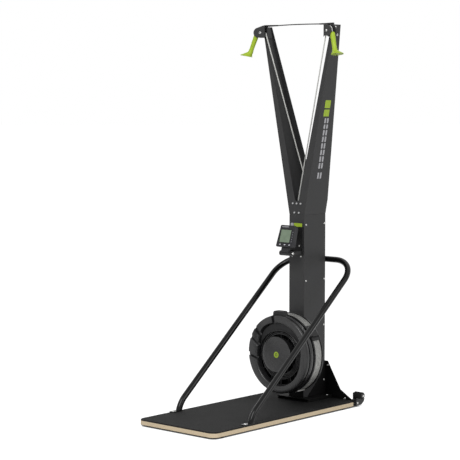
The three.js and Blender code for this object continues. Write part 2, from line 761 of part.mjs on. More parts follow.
function wheelBracket() {
  const front = PANEL_Y + PANEL_SHEET + FIT;
  const top = WHEEL_FLOOR_GAP - BRACKET_TOP_GAP;
  const earBack = WHEEL_Y + EAR_MARGIN;
  const earX = WHEEL_INNER_X - FIT - EAR_THICKNESS;
  const earTop = WHEEL_Z + EAR_MARGIN;
  const slope = (top - BRACKET_FLOOR_GAP) / 2;
  const foot = prismAcross([
    [front, BRACKET_FLOOR_GAP], [REAR_Y - 2 * slope, BRACKET_FLOOR_GAP], [REAR_Y - slope / 2, top - slope],
    [REAR_Y, top], [front, top],
  ], earX, earX + BRACKET_WIDTH);
  const ear = block(earX, earX + EAR_THICKNESS, WHEEL_Y - EAR_MARGIN, earBack, BRACKET_FLOOR_GAP, earTop);
  const axle = turnedX([
    [0, earX + EAR_THICKNESS / 2],
    [WHEEL_AXLE_RADIUS, earX + EAR_THICKNESS / 2],
    [WHEEL_AXLE_RADIUS, WHEEL_OUTER_X + FIT],
    [WHEEL_CAP_RADIUS, WHEEL_OUTER_X + FIT],
    [WHEEL_CAP_RADIUS, WHEEL_OUTER_X + FIT + WHEEL_CAP_THICKNESS],
    [0, WHEEL_OUTER_X + FIT + WHEEL_CAP_THICKNESS],
  ], ROUND_STEPS).translate(0, WHEEL_Y, WHEEL_Z);
  return united(foot, ear, axle);
}

function transportWheel() {
  const bore = WHEEL_AXLE_RADIUS + RUNNING_FIT;
  return turnedX([
    [bore, WHEEL_INNER_X],
    [WHEEL_RADIUS - WHEEL_EDGE_ROUNDING, WHEEL_INNER_X],
    [WHEEL_RADIUS, WHEEL_INNER_X + WHEEL_EDGE_ROUNDING],
    [WHEEL_RADIUS, WHEEL_OUTER_X - WHEEL_EDGE_ROUNDING],
    [WHEEL_RADIUS - WHEEL_EDGE_ROUNDING, WHEEL_OUTER_X],
    [bore, WHEEL_OUTER_X],
    [bore, WHEEL_INNER_X],
  ], ROUND_STEPS).translate(0, WHEEL_Y, WHEEL_Z);
}

addPiece('wheel_bracket_right', wheelBracket(), 'black_panel');
addPiece('wheel_bracket_left', mirrored(wheelBracket()), 'black_panel');
addPiece('transport_wheel_right', transportWheel(), 'rubber');
addPiece('transport_wheel_left', mirrored(transportWheel()), 'rubber');

// Column and its rear cover
function column() {
  const half = COLUMN_WIDTH / 2;
  const inner = half - COLUMN_WALL;
  const lip = half - COLUMN_LIP;
  const channel = prismUp([
    [-half, COLUMN_FRONT_Y], [half, COLUMN_FRONT_Y], [half, COLUMN_REAR_Y], [lip, COLUMN_REAR_Y],
    [lip, COLUMN_REAR_Y - COLUMN_WALL], [inner, COLUMN_REAR_Y - COLUMN_WALL],
    [inner, COLUMN_FRONT_Y + COLUMN_WALL], [-inner, COLUMN_FRONT_Y + COLUMN_WALL],
    [-inner, COLUMN_REAR_Y - COLUMN_WALL], [-lip, COLUMN_REAR_Y - COLUMN_WALL],
    [-lip, COLUMN_REAR_Y], [-half, COLUMN_REAR_Y],
  ], COLUMN_Z, COLUMN_TOP_Z);
  const opening = holeY(
    COLUMN_SHAFT_HOLE, 0, SHAFT_Z, COLUMN_FRONT_Y - OVERRUN, COLUMN_FRONT_Y + COLUMN_WALL + OVERRUN);
  return cut(channel, opening);
}

function rearCover() {
  const half = COLUMN_WIDTH / 2 - COVER_SIDE_MARGIN;
  return block(
    -half, half, PANEL_Y, PANEL_Y + COVER_SHEET, PANEL_TOP_Z + COVER_PANEL_GAP, NOTCH_Z - NOTCH_RAMP - FIT);
}

addPiece('column', column(), 'black_steel');
addPiece('rear_cover', rearCover(), 'black_steel');

// Arms, the joint plate behind their front flanges, and the bolts through both
const LEAN = Math.atan((ARM_TOP_HALF_SPAN - COLUMN_WIDTH / 2) / ARM_HEIGHT);
const BOLT_LOW_Z = COLUMN_TOP_Z + JOINT_BOLT_LOW_RISE;
const BOLT_HIGH_Z = COLUMN_TOP_Z + JOINT_BOLT_HIGH_RISE;
const JOINT_BOLTS = [
  [-JOINT_BOLT_LOW_HALF, BOLT_LOW_Z], [JOINT_BOLT_LOW_HALF, BOLT_LOW_Z],
  [-JOINT_BOLT_HIGH_HALF, BOLT_HIGH_Z], [JOINT_BOLT_HIGH_HALF, BOLT_HIGH_Z],
];
const TONGUE_BOLTS = [
  [FLANGE_BACK_Y + TONGUE_BOLT_REAR, ARM_TOP_Z - TONGUE_BOLT_LOW_DROP],
  [FLANGE_BACK_Y + TONGUE_BOLT_FRONT, ARM_TOP_Z - TONGUE_BOLT_HIGH_DROP],
];

// A piece modelled about an axis along X, set on the right arm's outer face at a height
function onArmFace(geometry, y, z) {
  return geometry.clone().rotateY(LEAN).translate(outerX(z), y, z);
}

function channelSection(z, outer, inner, rear) {
  const web = outer - ARM_WALL;
  return [
    [outer, COLUMN_FRONT_Y], [outer, rear], [inner, rear], [inner, rear - ARM_WALL],
    [web, rear - ARM_WALL], [web, COLUMN_FRONT_Y + ARM_WALL], [inner, COLUMN_FRONT_Y + ARM_WALL],
    [inner, COLUMN_FRONT_Y],
  ].map(([x, y]) => new THREE.Vector3(x, y, z));
}

function rightArm() {
  const topRear = COLUMN_FRONT_Y + ARM_TOP_DEPTH;
  const body = lofted([
    channelSection(ARM_Z, outerX(ARM_Z), FIT / 2, COLUMN_REAR_Y),
    channelSection(NOTCH_Z - NOTCH_RAMP, outerX(NOTCH_Z - NOTCH_RAMP), FIT / 2, COLUMN_REAR_Y),
    channelSection(NOTCH_Z, outerX(NOTCH_Z), innerX(NOTCH_Z), COLUMN_REAR_Y),
    channelSection(ARM_TOP_Z, outerX(ARM_TOP_Z), innerX(ARM_TOP_Z), topRear),
  ]);
  const frontHoles = [...JOINT_BOLTS, [0, BOLT_HIGH_Z]].map(([x, z]) => holeY(
    BOLT_HOLE_RADIUS, x, z, COLUMN_FRONT_Y - OVERRUN, COLUMN_FRONT_Y + ARM_WALL + OVERRUN));
  const rearHole = holeY(
    BOLT_HOLE_RADIUS, 0, BOLT_HIGH_Z, COLUMN_REAR_Y - ARM_WALL - OVERRUN, COLUMN_REAR_Y + OVERRUN);
  const webHoles = TONGUE_BOLTS.map(([y, z]) => onArmFace(
    turnedX(rodProfile(BOLT_HOLE_RADIUS, -ARM_WALL - OVERRUN, OVERRUN), COARSE_STEPS), y, z));
  return cut(body, ...frontHoles, rearHole, ...webHoles);
}

function jointPlate() {
  const half = COLUMN_WIDTH / 2 - COLUMN_WALL - JOINT_PLATE_SIDE_MARGIN;
  const front = FLANGE_BACK_Y + FIT;
  const plate = block(
    -half, half, front, front + JOINT_PLATE_THICKNESS, COLUMN_TOP_Z - JOINT_PLATE_DROP, NOTCH_Z - NOTCH_RAMP);
  const bolts = JOINT_BOLTS.map(([x, z]) => boltY(
    ARM_WALL + 2 * FIT + JOINT_PLATE_THICKNESS).translate(x, COLUMN_FRONT_Y - FIT, z));
  const hole = holeY(
    BOLT_HOLE_RADIUS, 0, BOLT_HIGH_Z, front - OVERRUN, front + JOINT_PLATE_THICKNESS + OVERRUN);
  return cut(united(plate, ...bolts), hole);
}

addPiece('arm_right', rightArm(), 'black_steel');
addPiece('arm_left', mirrored(rightArm()), 'black_steel');
addPiece('joint_plate', jointPlate(), 'bright_steel');

// Idlers that turn the cords down into the column, on one long bolt
function grooved(bore, groove, rim, width) {
  const half = width / 2;
  return [
    [bore, -half], [rim, -half], [rim, -half + PULLEY_LIP], [groove, -CORD_RADIUS], [groove, CORD_RADIUS],
    [rim, half - PULLEY_LIP], [rim, half], [bore, half], [bore, -half],
  ];
}

const IDLER_BORE = BOLT_RADIUS + RUNNING_FIT;
const idlerBolt = boltY(COLUMN_DEPTH).translate(0, COLUMN_FRONT_Y - FIT, BOLT_HIGH_Z);
addPiece('idler_bolt', idlerBolt, 'bright_steel');

function roller(groove, rim, width, bore, y, z) {
  return turnedY(grooved(bore, groove, rim, width), ROUND_STEPS).translate(0, y, z);
}

addPiece('idler_right', roller(
  IDLER_GROOVE, IDLER_RIM, PULLEY_WIDTH, IDLER_BORE, FRONT_LANE_Y, BOLT_HIGH_Z), 'black_plastic');
addPiece('idler_left', roller(
  IDLER_GROOVE, IDLER_RIM, PULLEY_WIDTH, IDLER_BORE, REAR_LANE_Y, BOLT_HIGH_Z), 'black_plastic');

// Top brackets: two plates round the pulley, a web over it and a tongue bolted inside the arm.
// The plates and the pulley are drawn about the axle, x outward, and then toed as one.
const TOP_AXLE_Z = ARM_TOP_Z - TOP_AXLE_DROP;
const PULLEY_Y = COLUMN_FRONT_Y - TOP_PULLEY_SETOUT;
const FRONT_PLATE_BACK = -PULLEY_WIDTH / 2 - TOP_PLATE_FRONT_GAP;
const FRONT_PLATE_FRONT = FRONT_PLATE_BACK - TOP_PLATE_THICKNESS;
const BACK_PLATE_FRONT = PULLEY_WIDTH / 2 + TOP_PLATE_BACK_GAP;
const BACK_PLATE_BACK = BACK_PLATE_FRONT + TOP_PLATE_THICKNESS;
const TOE = THREE.MathUtils.degToRad(TOP_TOE);

function atTopAxle(geometry) {
  return geometry.clone().rotateZ(-TOE).translate(TOP_AXLE_X, PULLEY_Y, TOP_AXLE_Z);
}

function topPlateOutline() {
  const crest = TOP_AXLE_DROP + TOP_PLATE_CREST_RISE;
  const inner = -TOP_PLATE_INNER_REACH;
  const nose = Array.from({ length: CORNER_STEPS * 2 + 1 }, (_, i) => {
    const angle = THREE.MathUtils.degToRad(NOSE_FROM + (i / (CORNER_STEPS * 2)) * (NOSE_TO - NOSE_FROM));
    return [NOSE_REACH + NOSE_RADIUS * Math.cos(angle), NOSE_RADIUS * Math.sin(angle)];
  });
  return [
    [inner, -NOSE_RADIUS - TOP_PLATE_HEEL],
    [inner + TOP_PLATE_HEEL, -NOSE_RADIUS],
    ...nose,
    [inner + TOP_PLATE_CREST_WIDTH, crest],
    [inner, crest],
  ];
}

// A four-cornered pillar whose sides follow the arm's slope between two heights
function leaningPillar(low, high, x0, x1, y0, y1) {
  return lofted([low, high].map((z) => [
    new THREE.Vector3(x0(z), y0, z), new THREE.Vector3(x1(z), y0, z),
    new THREE.Vector3(x1(z), y1, z), new THREE.Vector3(x0(z), y1, z),
  ]));
}

function rightTopBracket() {
  const outline = topPlateOutline();
  const front = prismBack(outline, FRONT_PLATE_FRONT, FRONT_PLATE_BACK);
  const back = prismBack(outline, BACK_PLATE_FRONT, BACK_PLATE_BACK);
  const crest = TOP_AXLE_DROP + TOP_PLATE_CREST_RISE;
  const web = block(
    -TOP_PLATE_INNER_REACH, -TOP_PLATE_INNER_REACH + TOP_PLATE_CREST_WIDTH,
    FRONT_PLATE_FRONT, BACK_PLATE_BACK, crest - TOP_PLATE_THICKNESS, crest);
  const pin = boltY(BACK_PLATE_BACK - FRONT_PLATE_FRONT - FIT).translate(0, FRONT_PLATE_FRONT, 0);
  const low = ARM_TOP_Z - TONGUE_LOW;
  const high = ARM_TOP_Z - TONGUE_HIGH;
  const innerFace = (z) => outerX(z) - ARM_WALL - FIT;
  const shelfFront = FLANGE_BACK_Y + FIT;
  const shelfBack = shelfFront + TONGUE_THICKNESS;
  const tongueBack = COLUMN_FRONT_Y + ARM_TOP_DEPTH - ARM_WALL - TONGUE_END_GAP;
  const neck = leaningPillar(
    low, high, () => NECK_INNER_X, (z) => innerX(z) - NECK_GAP, COLUMN_FRONT_Y - NECK_DEPTH, shelfBack);
  const shelf = leaningPillar(low, high, () => NECK_INNER_X, innerFace, shelfFront, shelfBack);
  const tongue = leaningPillar(
    low, high, (z) => innerFace(z) - TONGUE_THICKNESS, innerFace, shelfFront, tongueBack);
  const lug = block(
    LUG_INNER_X, LUG_INNER_X + LUG_WIDTH, LUG_Y - LUG_DEPTH / 2, LUG_Y + LUG_DEPTH / 2,
    high - TONGUE_THICKNESS, ARM_TOP_Z + LUG_RISE);
  const bolts = TONGUE_BOLTS.map(([y, z]) => onArmFace(
    boltY(ARM_WALL + 2 * FIT + TONGUE_THICKNESS / 2).rotateZ(Math.PI / 2).translate(FIT, 0, 0), y, z));
  const head = atTopAxle(united(front, back, web, pin));
  return united(head, neck, shelf, tongue, lug, ...bolts);
}

const LUG_Y = FLANGE_BACK_Y + FIT + LUG_DEPTH / 2 + FIT;
const PULLEY_BORE = BOLT_RADIUS + RUNNING_FIT;

function rightTopPulley() {
  const wheel = grooved(PULLEY_BORE, TOP_PULLEY_GROOVE, TOP_PULLEY_RIM, PULLEY_WIDTH);
  return atTopAxle(turnedY(wheel, ROUND_STEPS));
}

addPiece('top_bracket_right', rightTopBracket(), 'black_steel');
addPiece('top_bracket_left', mirrored(rightTopBracket()), 'black_steel');
addPiece('top_pulley_right', rightTopPulley(), 'black_plastic');
addPiece('top_pulley_left', mirrored(rightTopPulley()), 'black_plastic');

// Drive cords: over the top pulley, down inside the arm, past the idler and down to the drum
const TOP_CORD_CIRCLE = TOP_PULLEY_GROOVE + FIT + CORD_RADIUS;
const IDLER_CORD_CIRCLE = IDLER_GROOVE + FIT + CORD_RADIUS;
const DRUM_CORD_CIRCLE = DRUM_GROOVE + FIT + CORD_RADIUS;
const LEAVING_ANGLE = Math.atan(HANDLE_LEAN_OUT / HANDLE_LEAN_DOWN);
const handleAxis = new THREE.Vector3(HANDLE_LEAN_OUT, -HANDLE_LEAN_FORWARD, -HANDLE_LEAN_DOWN).normalize();

function arcPoints(radius, from, to) {
  return Array.from({ length: CORNER_STEPS * 2 + 1 }, (_, i) => {
    const angle = from + (i / (CORNER_STEPS * 2)) * (to - from);
    return new THREE.Vector3(radius * Math.cos(angle), 0, radius * Math.sin(angle));
  });
}

function placedAtTop(point) {
  const top = new THREE.Vector3(TOP_AXLE_X, PULLEY_Y, TOP_AXLE_Z);
  return point.clone().applyAxisAngle(new THREE.Vector3(0, 0, 1), -TOE).add(top);
}

// Where the cord leaves the top pulley toward the handle
const cordLeaves = placedAtTop(arcPoints(TOP_CORD_CIRCLE, LEAVING_ANGLE, Math.PI)[0]);

// The cord of the right handle crosses over to the left side of its idler
function driveCord(laneY) {
  const apart = new THREE.Vector2(TOP_AXLE_X, TOP_AXLE_Z - BOLT_HIGH_Z);
  const skew = Math.asin((TOP_CORD_CIRCLE - IDLER_CORD_CIRCLE) / apart.length());
  const tangent = Math.PI - Math.atan2(apart.x, apart.y) + skew;
  const over = arcPoints(TOP_CORD_CIRCLE, LEAVING_ANGLE, tangent).map(placedAtTop);
  const idler = new THREE.Vector3(0, laneY, BOLT_HIGH_Z);
  const past = arcPoints(IDLER_CORD_CIRCLE, tangent, Math.PI).map((point) => point.add(idler));
  const start = cordLeaves.clone().addScaledVector(handleAxis, CORD_RADIUS);
  const end = new THREE.Vector3(-DRUM_CORD_CIRCLE, laneY, SHAFT_Z);
  return tube([start, ...over, ...past, end], CORD_RADIUS, CORD_SIDES);
}

addPiece('drive_cord_right', driveCord(FRONT_LANE_Y), 'white_cord');
addPiece('drive_cord_left', mirrored(driveCord(REAR_LANE_Y)), 'white_cord');

// Elastic return cord across the top, held in a tapered sleeve at each end
const RETURN_CORD_Z = ARM_TOP_Z + LUG_RISE - RETURN_CORD_DROP;

function sleeve() {
  return turnedX([
    [0, SLEEVE_TIP_X], [SLEEVE_TIP_RADIUS, SLEEVE_TIP_X], [SLEEVE_ROOT_RADIUS, LUG_INNER_X - FIT],
    [0, LUG_INNER_X - FIT],
  ], COARSE_STEPS).translate(0, LUG_Y, RETURN_CORD_Z);
}

function returnCord() {
  const reach = SLEEVE_TIP_X - FIT;
  return tube(RETURN_CORD_SHARES.map(([across, up]) => new THREE.Vector3(
    across * reach, LUG_Y, RETURN_CORD_Z + up * RETURN_CORD_ARCH)), RETURN_CORD_RADIUS, CORD_SIDES);
}

addPiece('return_cord', returnCord(), 'dark_cord');
addPiece('cord_sleeve_right', sleeve(), 'rubber');
addPiece('cord_sleeve_left', mirrored(sleeve()), 'rubber');

// Handles: a waisted grip with a round top that flares into a level disc, set out from its axis
const HANDLE_TOP = cordLeaves.clone().addScaledVector(handleAxis, HANDLE_CORD_LENGTH);

function rightHandle() {
  const top = HANDLE_TOP_RADIUS;
  const onAxis = (distance, radius) => ({
    centre: HANDLE_TOP.clone().addScaledVector(handleAxis, distance), facing: handleAxis, radius,
  });
  const dome = Array.from({ length: CORNER_STEPS }, (_, i) => {
    const angle = ((i + 1) / CORNER_STEPS) * (Math.PI / 2);
    return onAxis(top * (1 - Math.cos(angle)), top * Math.sin(angle));
  });
  const neck = onAxis(HANDLE_NECK_AT, HANDLE_NECK_RADIUS);
  const discFacing = new THREE.Vector3(
    HANDLE_DISC_TILT_OUT, -HANDLE_DISC_TILT_FORWARD, -HANDLE_DISC_DOWN).normalize();
  const under = HANDLE_TOP.clone().addScaledVector(handleAxis, HANDLE_LENGTH)
    .add(new THREE.Vector3(HANDLE_DISC_OUT, -HANDLE_DISC_FORWARD, 0));
  const over = under.clone().addScaledVector(discFacing, -HANDLE_DISC_THICKNESS);
  const flare = HANDLE_FLARE_SHARES.map(([place, turn, growth]) => ({
    centre: neck.centre.clone().lerp(over, place),
    facing: handleAxis.clone().lerp(discFacing, turn).normalize(),
    radius: HANDLE_NECK_RADIUS + growth * (HANDLE_DISC_RADIUS - HANDLE_NECK_RADIUS),
  }));
  return ringStack([
    { ...dome[0], centre: HANDLE_TOP, radius: dome[0].radius / 2 },
    ...dome,
    onAxis(HANDLE_WAIST_AT, HANDLE_WAIST_RADIUS),
    neck,
    ...flare,
    { centre: over, facing: discFacing, radius: HANDLE_DISC_RADIUS },
    { centre: under, facing: discFacing, radius: HANDLE_DISC_RADIUS },
  ], ROUND_STEPS);
}

// The free cord between the drive cord's end on the pulley and the handle
function handleCord() {
  const from = cordLeaves.clone().addScaledVector(handleAxis, CORD_RADIUS + FIT);
  const to = cordLeaves.clone().addScaledVector(handleAxis, HANDLE_CORD_LENGTH - FIT);
  return tube([from, to], CORD_RADIUS, CORD_SIDES);
}

addPiece('handle_right', rightHandle(), 'lime_plastic');
addPiece('handle_left', mirrored(rightHandle()), 'lime_plastic');
addPiece('handle_cord_right', handleCord(), 'white_cord');
addPiece('handle_cord_left', mirrored(handleCord()), 'white_cord');

// Flywheel shaft, bearings and cord drums
const BAND_REAR_Y = COLUMN_FRONT_Y - HOUSING_SETOUT + FRONT_SHELL_DEPTH + FIT + BAND_DEPTH;
const SHELL_FRONT_Y = COLUMN_FRONT_Y - HOUSING_SETOUT;
const SHELL_REAR_Y = SHELL_FRONT_Y + FRONT_SHELL_DEPTH;
const REAR_SHELL_Y = BAND_REAR_Y + FIT;
const SHAFT_BORE = SHAFT_RADIUS + RUNNING_FIT;
const REAR_BEARING_Y = COLUMN_REAR_Y - COLUMN_WALL - FIT;

function bearing(plateFront, bossEnd) {
  const half = COLUMN_WIDTH / 2 - COLUMN_WALL - FIT;
  const plateBack = plateFront + BEARING_PLATE_THICKNESS;
  const plate = block(
    -half, half, plateFront, plateBack, SHAFT_Z - BEARING_PLATE_HEIGHT / 2, SHAFT_Z + BEARING_PLATE_HEIGHT / 2);
  const [bossFrom, bossTo] = [Math.min(plateFront, bossEnd), Math.max(plateBack, bossEnd)];
  const boss = turnedY(rodProfile(BEARING_BOSS_RADIUS, bossFrom, bossTo), ROUND_STEPS).translate(0, 0, SHAFT_Z);
  return cut(united(plate, boss), holeY(SHAFT_BORE, 0, SHAFT_Z, bossFrom - OVERRUN, bossTo + OVERRUN));
}

const shaft = turnedY(rodProfile(
  SHAFT_RADIUS, COLUMN_FRONT_Y - SHAFT_FRONT_REACH, COLUMN_REAR_Y - SHAFT_REAR_GAP), ROUND_STEPS)
  .translate(0, 0, SHAFT_Z);
const FRONT_BEARING_Y = COLUMN_FRONT_Y + COLUMN_WALL + FIT;
addPiece('flywheel_shaft', shaft, 'bright_steel');
addPiece('bearing_front', bearing(
  FRONT_BEARING_Y, FRONT_BEARING_Y + BEARING_PLATE_THICKNESS + BEARING_BOSS_LENGTH), 'black_steel');
addPiece('bearing_rear', bearing(
  REAR_BEARING_Y - BEARING_PLATE_THICKNESS,
  REAR_BEARING_Y - BEARING_PLATE_THICKNESS - BEARING_BOSS_LENGTH), 'black_steel');
addPiece('drum_right', roller(
  DRUM_GROOVE, DRUM_RIM, DRUM_WIDTH, SHAFT_BORE, FRONT_LANE_Y, SHAFT_Z), 'bright_steel');
addPiece('drum_left', roller(
  DRUM_GROOVE, DRUM_RIM, DRUM_WIDTH, SHAFT_BORE, REAR_LANE_Y, SHAFT_Z), 'bright_steel');

// Fan flywheel: a hub and a disc with radial blades in front of it
function flywheel() {
  const back = BAND_REAR_Y - FAN_SIDE_GAP;
  const front = back - FAN_DEPTH;
  const disc = turnedY(rodProfile(FAN_RADIUS, back - FAN_DISC_THICKNESS, back), FINE_STEPS);
  const hub = turnedY(rodProfile(FAN_HUB_RADIUS, front, back), ROUND_STEPS);
  const blades = Array.from({ length: FAN_BLADES }, (_, i) => block(
    FAN_BLADE_INNER, FAN_RADIUS - FAN_BLADE_THICKNESS, front, back - FAN_DISC_THICKNESS / 2,
    -FAN_BLADE_THICKNESS / 2, FAN_BLADE_THICKNESS / 2).rotateY((i / FAN_BLADES) * 2 * Math.PI));
  const whole = united(disc, hub, ...blades);
  return cut(whole, turnedY(rodProfile(SHAFT_RADIUS + FIT, front - OVERRUN, back + OVERRUN), ROUND_STEPS))
    .translate(0, 0, SHAFT_Z);
}

addPiece('flywheel', flywheel(), 'black_plastic');

// Housing: front shell with an off-centre intake, screen band, rear shell
function frontShell() {
  const rim = SHELL_FRONT_Y + RIM_ROUNDING;
  const throatZ = SHAFT_Z - INTAKE_DROP;
  const lipY = SHELL_FRONT_Y + FUNNEL_DEPTH;
  const throatY = lipY - FUNNEL_LIP_DEPTH;
  const wall = HOUSING_WALL;
  const rounded = RIM_ROUND_SHARES.map(([forward, inward]) => (
    { y: rim - RIM_ROUNDING * forward, radius: HOUSING_RADIUS - RIM_ROUNDING * inward, z: SHAFT_Z }));
  const [throatBack, throatOut] = THROAT_WALL_SHARES;
  const [edgeBack, edgeOut] = FRONT_EDGE_WALL_SHARES;
  const insideY = rim - RIM_ROUNDING * RIM_INSIDE_ROUND_SHARES[0] + wall * RIM_INSIDE_WALL_SHARES[0];
  const insideInset = RIM_ROUNDING * RIM_INSIDE_ROUND_SHARES[1] + wall * RIM_INSIDE_WALL_SHARES[1];
  const rings = [
    { y: SHELL_REAR_Y, radius: HOUSING_RADIUS, z: SHAFT_Z },
    { y: rim, radius: HOUSING_RADIUS, z: SHAFT_Z },
    ...rounded,
    { y: SHELL_FRONT_Y, radius: FRONT_RIM_RADIUS, z: SHAFT_Z },
    { y: throatY, radius: FUNNEL_THROAT_RADIUS, z: throatZ },
    { y: lipY, radius: INTAKE_RADIUS, z: throatZ },
    { y: lipY + LIP_THICKNESS, radius: INTAKE_RADIUS, z: throatZ },
    { y: throatY + wall * throatBack, radius: FUNNEL_THROAT_RADIUS + wall * throatOut, z: throatZ },
    { y: SHELL_FRONT_Y + wall * edgeBack, radius: FRONT_RIM_RADIUS + wall * edgeOut, z: SHAFT_Z },
    { y: insideY, radius: HOUSING_RADIUS - insideInset, z: SHAFT_Z },
    { y: rim, radius: HOUSING_RADIUS - wall, z: SHAFT_Z },
    { y: SHELL_REAR_Y, radius: HOUSING_RADIUS - wall, z: SHAFT_Z },
  ];
  const shell = ringShell(rings, FINE_STEPS);
  const tabFront = SHELL_FRONT_Y + RIM_ROUNDING;
  const tab = block(
    -TOP_TAB_SHIFT - TOP_TAB_HALF_WIDTH, -TOP_TAB_SHIFT + TOP_TAB_HALF_WIDTH,
    tabFront, tabFront + TOP_TAB_DEPTH,
    SHAFT_Z + HOUSING_RADIUS - HOUSING_WALL - TOP_TAB_RISE, SHAFT_Z + HOUSING_RADIUS + TOP_TAB_RISE);
  const bandClear = turnedY(rodProfile(
    HOUSING_RADIUS + FIT, SHELL_REAR_Y, tabFront + TOP_TAB_DEPTH + OVERRUN), FINE_STEPS)
    .translate(0, 0, SHAFT_Z);
  const inside = turnedY(rodProfile(
    HOUSING_RADIUS - HOUSING_WALL, rim, tabFront + TOP_TAB_DEPTH), FINE_STEPS).translate(0, 0, SHAFT_Z);
  return united(shell, cut(tab, bandClear, inside));
}

function screenBand() {
  const from = SHELL_REAR_Y + FIT;
  return turnedY(ringProfile(HOUSING_RADIUS - HOUSING_WALL, HOUSING_RADIUS, from, BAND_REAR_Y), FINE_STEPS)
    .translate(0, 0, SHAFT_Z);
}

function rearShell() {
  const back = COLUMN_FRONT_Y - FIT;
  const wall = HOUSING_WALL;
  const rimBack = REAR_SHELL_Y + REAR_RIM_DEPTH;
  return ringShell([
    { y: REAR_SHELL_Y, radius: HOUSING_RADIUS - wall, z: SHAFT_Z },
    { y: REAR_SHELL_Y, radius: REAR_RIM_RADIUS, z: SHAFT_Z },
    { y: rimBack, radius: REAR_RIM_RADIUS, z: SHAFT_Z },
    { y: rimBack, radius: HOUSING_RADIUS, z: SHAFT_Z },
    { y: back, radius: REAR_SHELL_BACK_RADIUS, z: SHAFT_Z },
    { y: back, radius: REAR_SHELL_HOLE, z: SHAFT_Z },
    { y: back - wall, radius: REAR_SHELL_HOLE, z: SHAFT_Z },
    { y: back - wall, radius: REAR_SHELL_BACK_RADIUS - wall, z: SHAFT_Z },
    { y: rimBack - wall, radius: HOUSING_RADIUS - wall * REAR_KNEE_WALL_SHARE, z: SHAFT_Z },
  ], FINE_STEPS);
}

addPiece('housing_front', frontShell(), 'black_plastic');
addPiece('screen_band', screenBand(), 'grey_screen');
addPiece('housing_rear', rearShell(), 'black_plastic');

// Intake guard behind the intake lip: spokes from an inner ring out to a ring on the intake's axis
const GUARD_FRONT_Y = SHELL_FRONT_Y + FUNNEL_DEPTH + LIP_THICKNESS + FIT;
const GUARD_BACK_Y = GUARD_FRONT_Y + SPOKE_THICKNESS;

function guardRing(middle, z) {
  const half = GUARD_RING_WIDTH / 2;
  return turnedY(ringProfile(middle - half, middle + half, GUARD_FRONT_Y, GUARD_BACK_Y), FINE_STEPS)
    .translate(0, 0, z);
}

function intakeGuard() {
  const innerMiddle = HUB_SKIRT_RADIUS - GUARD_RING_WIDTH / 2;
  const spokes = Array.from({ length: SPOKES }, (_, i) => {
    const angle = (i / SPOKES) * 2 * Math.PI;
    const facing = new THREE.Vector2(Math.cos(angle), Math.sin(angle));
    const root = facing.clone().multiplyScalar(innerMiddle);
    const tip = facing.clone().multiplyScalar(INTAKE_RADIUS);
    tip.y -= INTAKE_DROP;
    const run = tip.clone().sub(root);
    return block(0, run.length(), GUARD_FRONT_Y, GUARD_BACK_Y, -SPOKE_WIDTH / 2, SPOKE_WIDTH / 2)
      .rotateY(-Math.atan2(run.y, run.x)).translate(root.x, 0, SHAFT_Z + root.y);
  });
  return united(guardRing(innerMiddle, SHAFT_Z), guardRing(INTAKE_RADIUS, SHAFT_Z - INTAKE_DROP), ...spokes);
}

// Hub cover: a disc on a skirt that stands on the guard's inner ring
function hubCover() {
  const discY = SHELL_FRONT_Y - HUB_DISC_PROUD;
  const discBack = discY + HUB_DISC_THICKNESS;
  const disc = turnedY(rodProfile(HUB_DISC_RADIUS, discY, discBack), FINE_STEPS);
  const skirt = turnedY(ringProfile(
    HUB_SKIRT_RADIUS - HUB_SKIRT_WALL, HUB_SKIRT_RADIUS,
    discBack - HUB_DISC_THICKNESS / 2, GUARD_FRONT_Y - FIT), FINE_STEPS);
  return united(disc, skirt).translate(0, 0, SHAFT_Z);
}

addPiece('intake_guard', intakeGuard(), 'black_plastic');
addPiece('hub_cover', hubCover(), 'black_plastic');

// Damper lever: a curved slider on the band with a finger tab
function damperLever() {
  const inner = HOUSING_RADIUS + FIT;
  const outer = inner + DAMPER_THICKNESS;
  const steps = CORNER_STEPS;
  const from = THREE.MathUtils.degToRad(DAMPER_FROM);
  const to = THREE.MathUtils.degToRad(DAMPER_TO);
  const arc = (radius) => Array.from({ length: steps + 1 }, (_, i) => {
    const angle = from + (i / steps) * (to - from);
    return [radius * Math.cos(angle), SHAFT_Z + radius * Math.sin(angle)];
  });
  const front = SHELL_REAR_Y + FIT + DAMPER_EDGE_GAP;
  const back = BAND_REAR_Y - DAMPER_EDGE_GAP;
  const slider = prismBack([...arc(outer), ...arc(inner).reverse()], front, back);
  const tab = block(
    outer - DAMPER_THICKNESS / 2, outer + DAMPER_TAB_HEIGHT, front, back,
    -DAMPER_TAB_THICKNESS / 2, DAMPER_TAB_THICKNESS / 2)
    .rotateY(-THREE.MathUtils.degToRad(DAMPER_TAB_ANGLE)).translate(0, 0, SHAFT_Z);
  return united(slider, tab);
}

addPiece('damper_lever', damperLever(), 'black_plastic');

// Band clip: a strap end on the band, low on the right
function bandClip() {
  const inner = HOUSING_RADIUS + FIT;
  return block(
    inner, inner + CLIP_THICKNESS, SHELL_REAR_Y + FIT, SHELL_REAR_Y + FIT + CLIP_WIDTH,
    -CLIP_HEIGHT / 2, CLIP_HEIGHT / 2)
    .rotateY(-THREE.MathUtils.degToRad(CLIP_ANGLE)).translate(0, 0, SHAFT_Z);
}

addPiece('band_clip', bandClip(), 'grey_screen');

// Monitor bracket on the column, with the hinge pin
const HINGE_Y = COLUMN_FRONT_Y - MONITOR_HINGE_SETOUT;

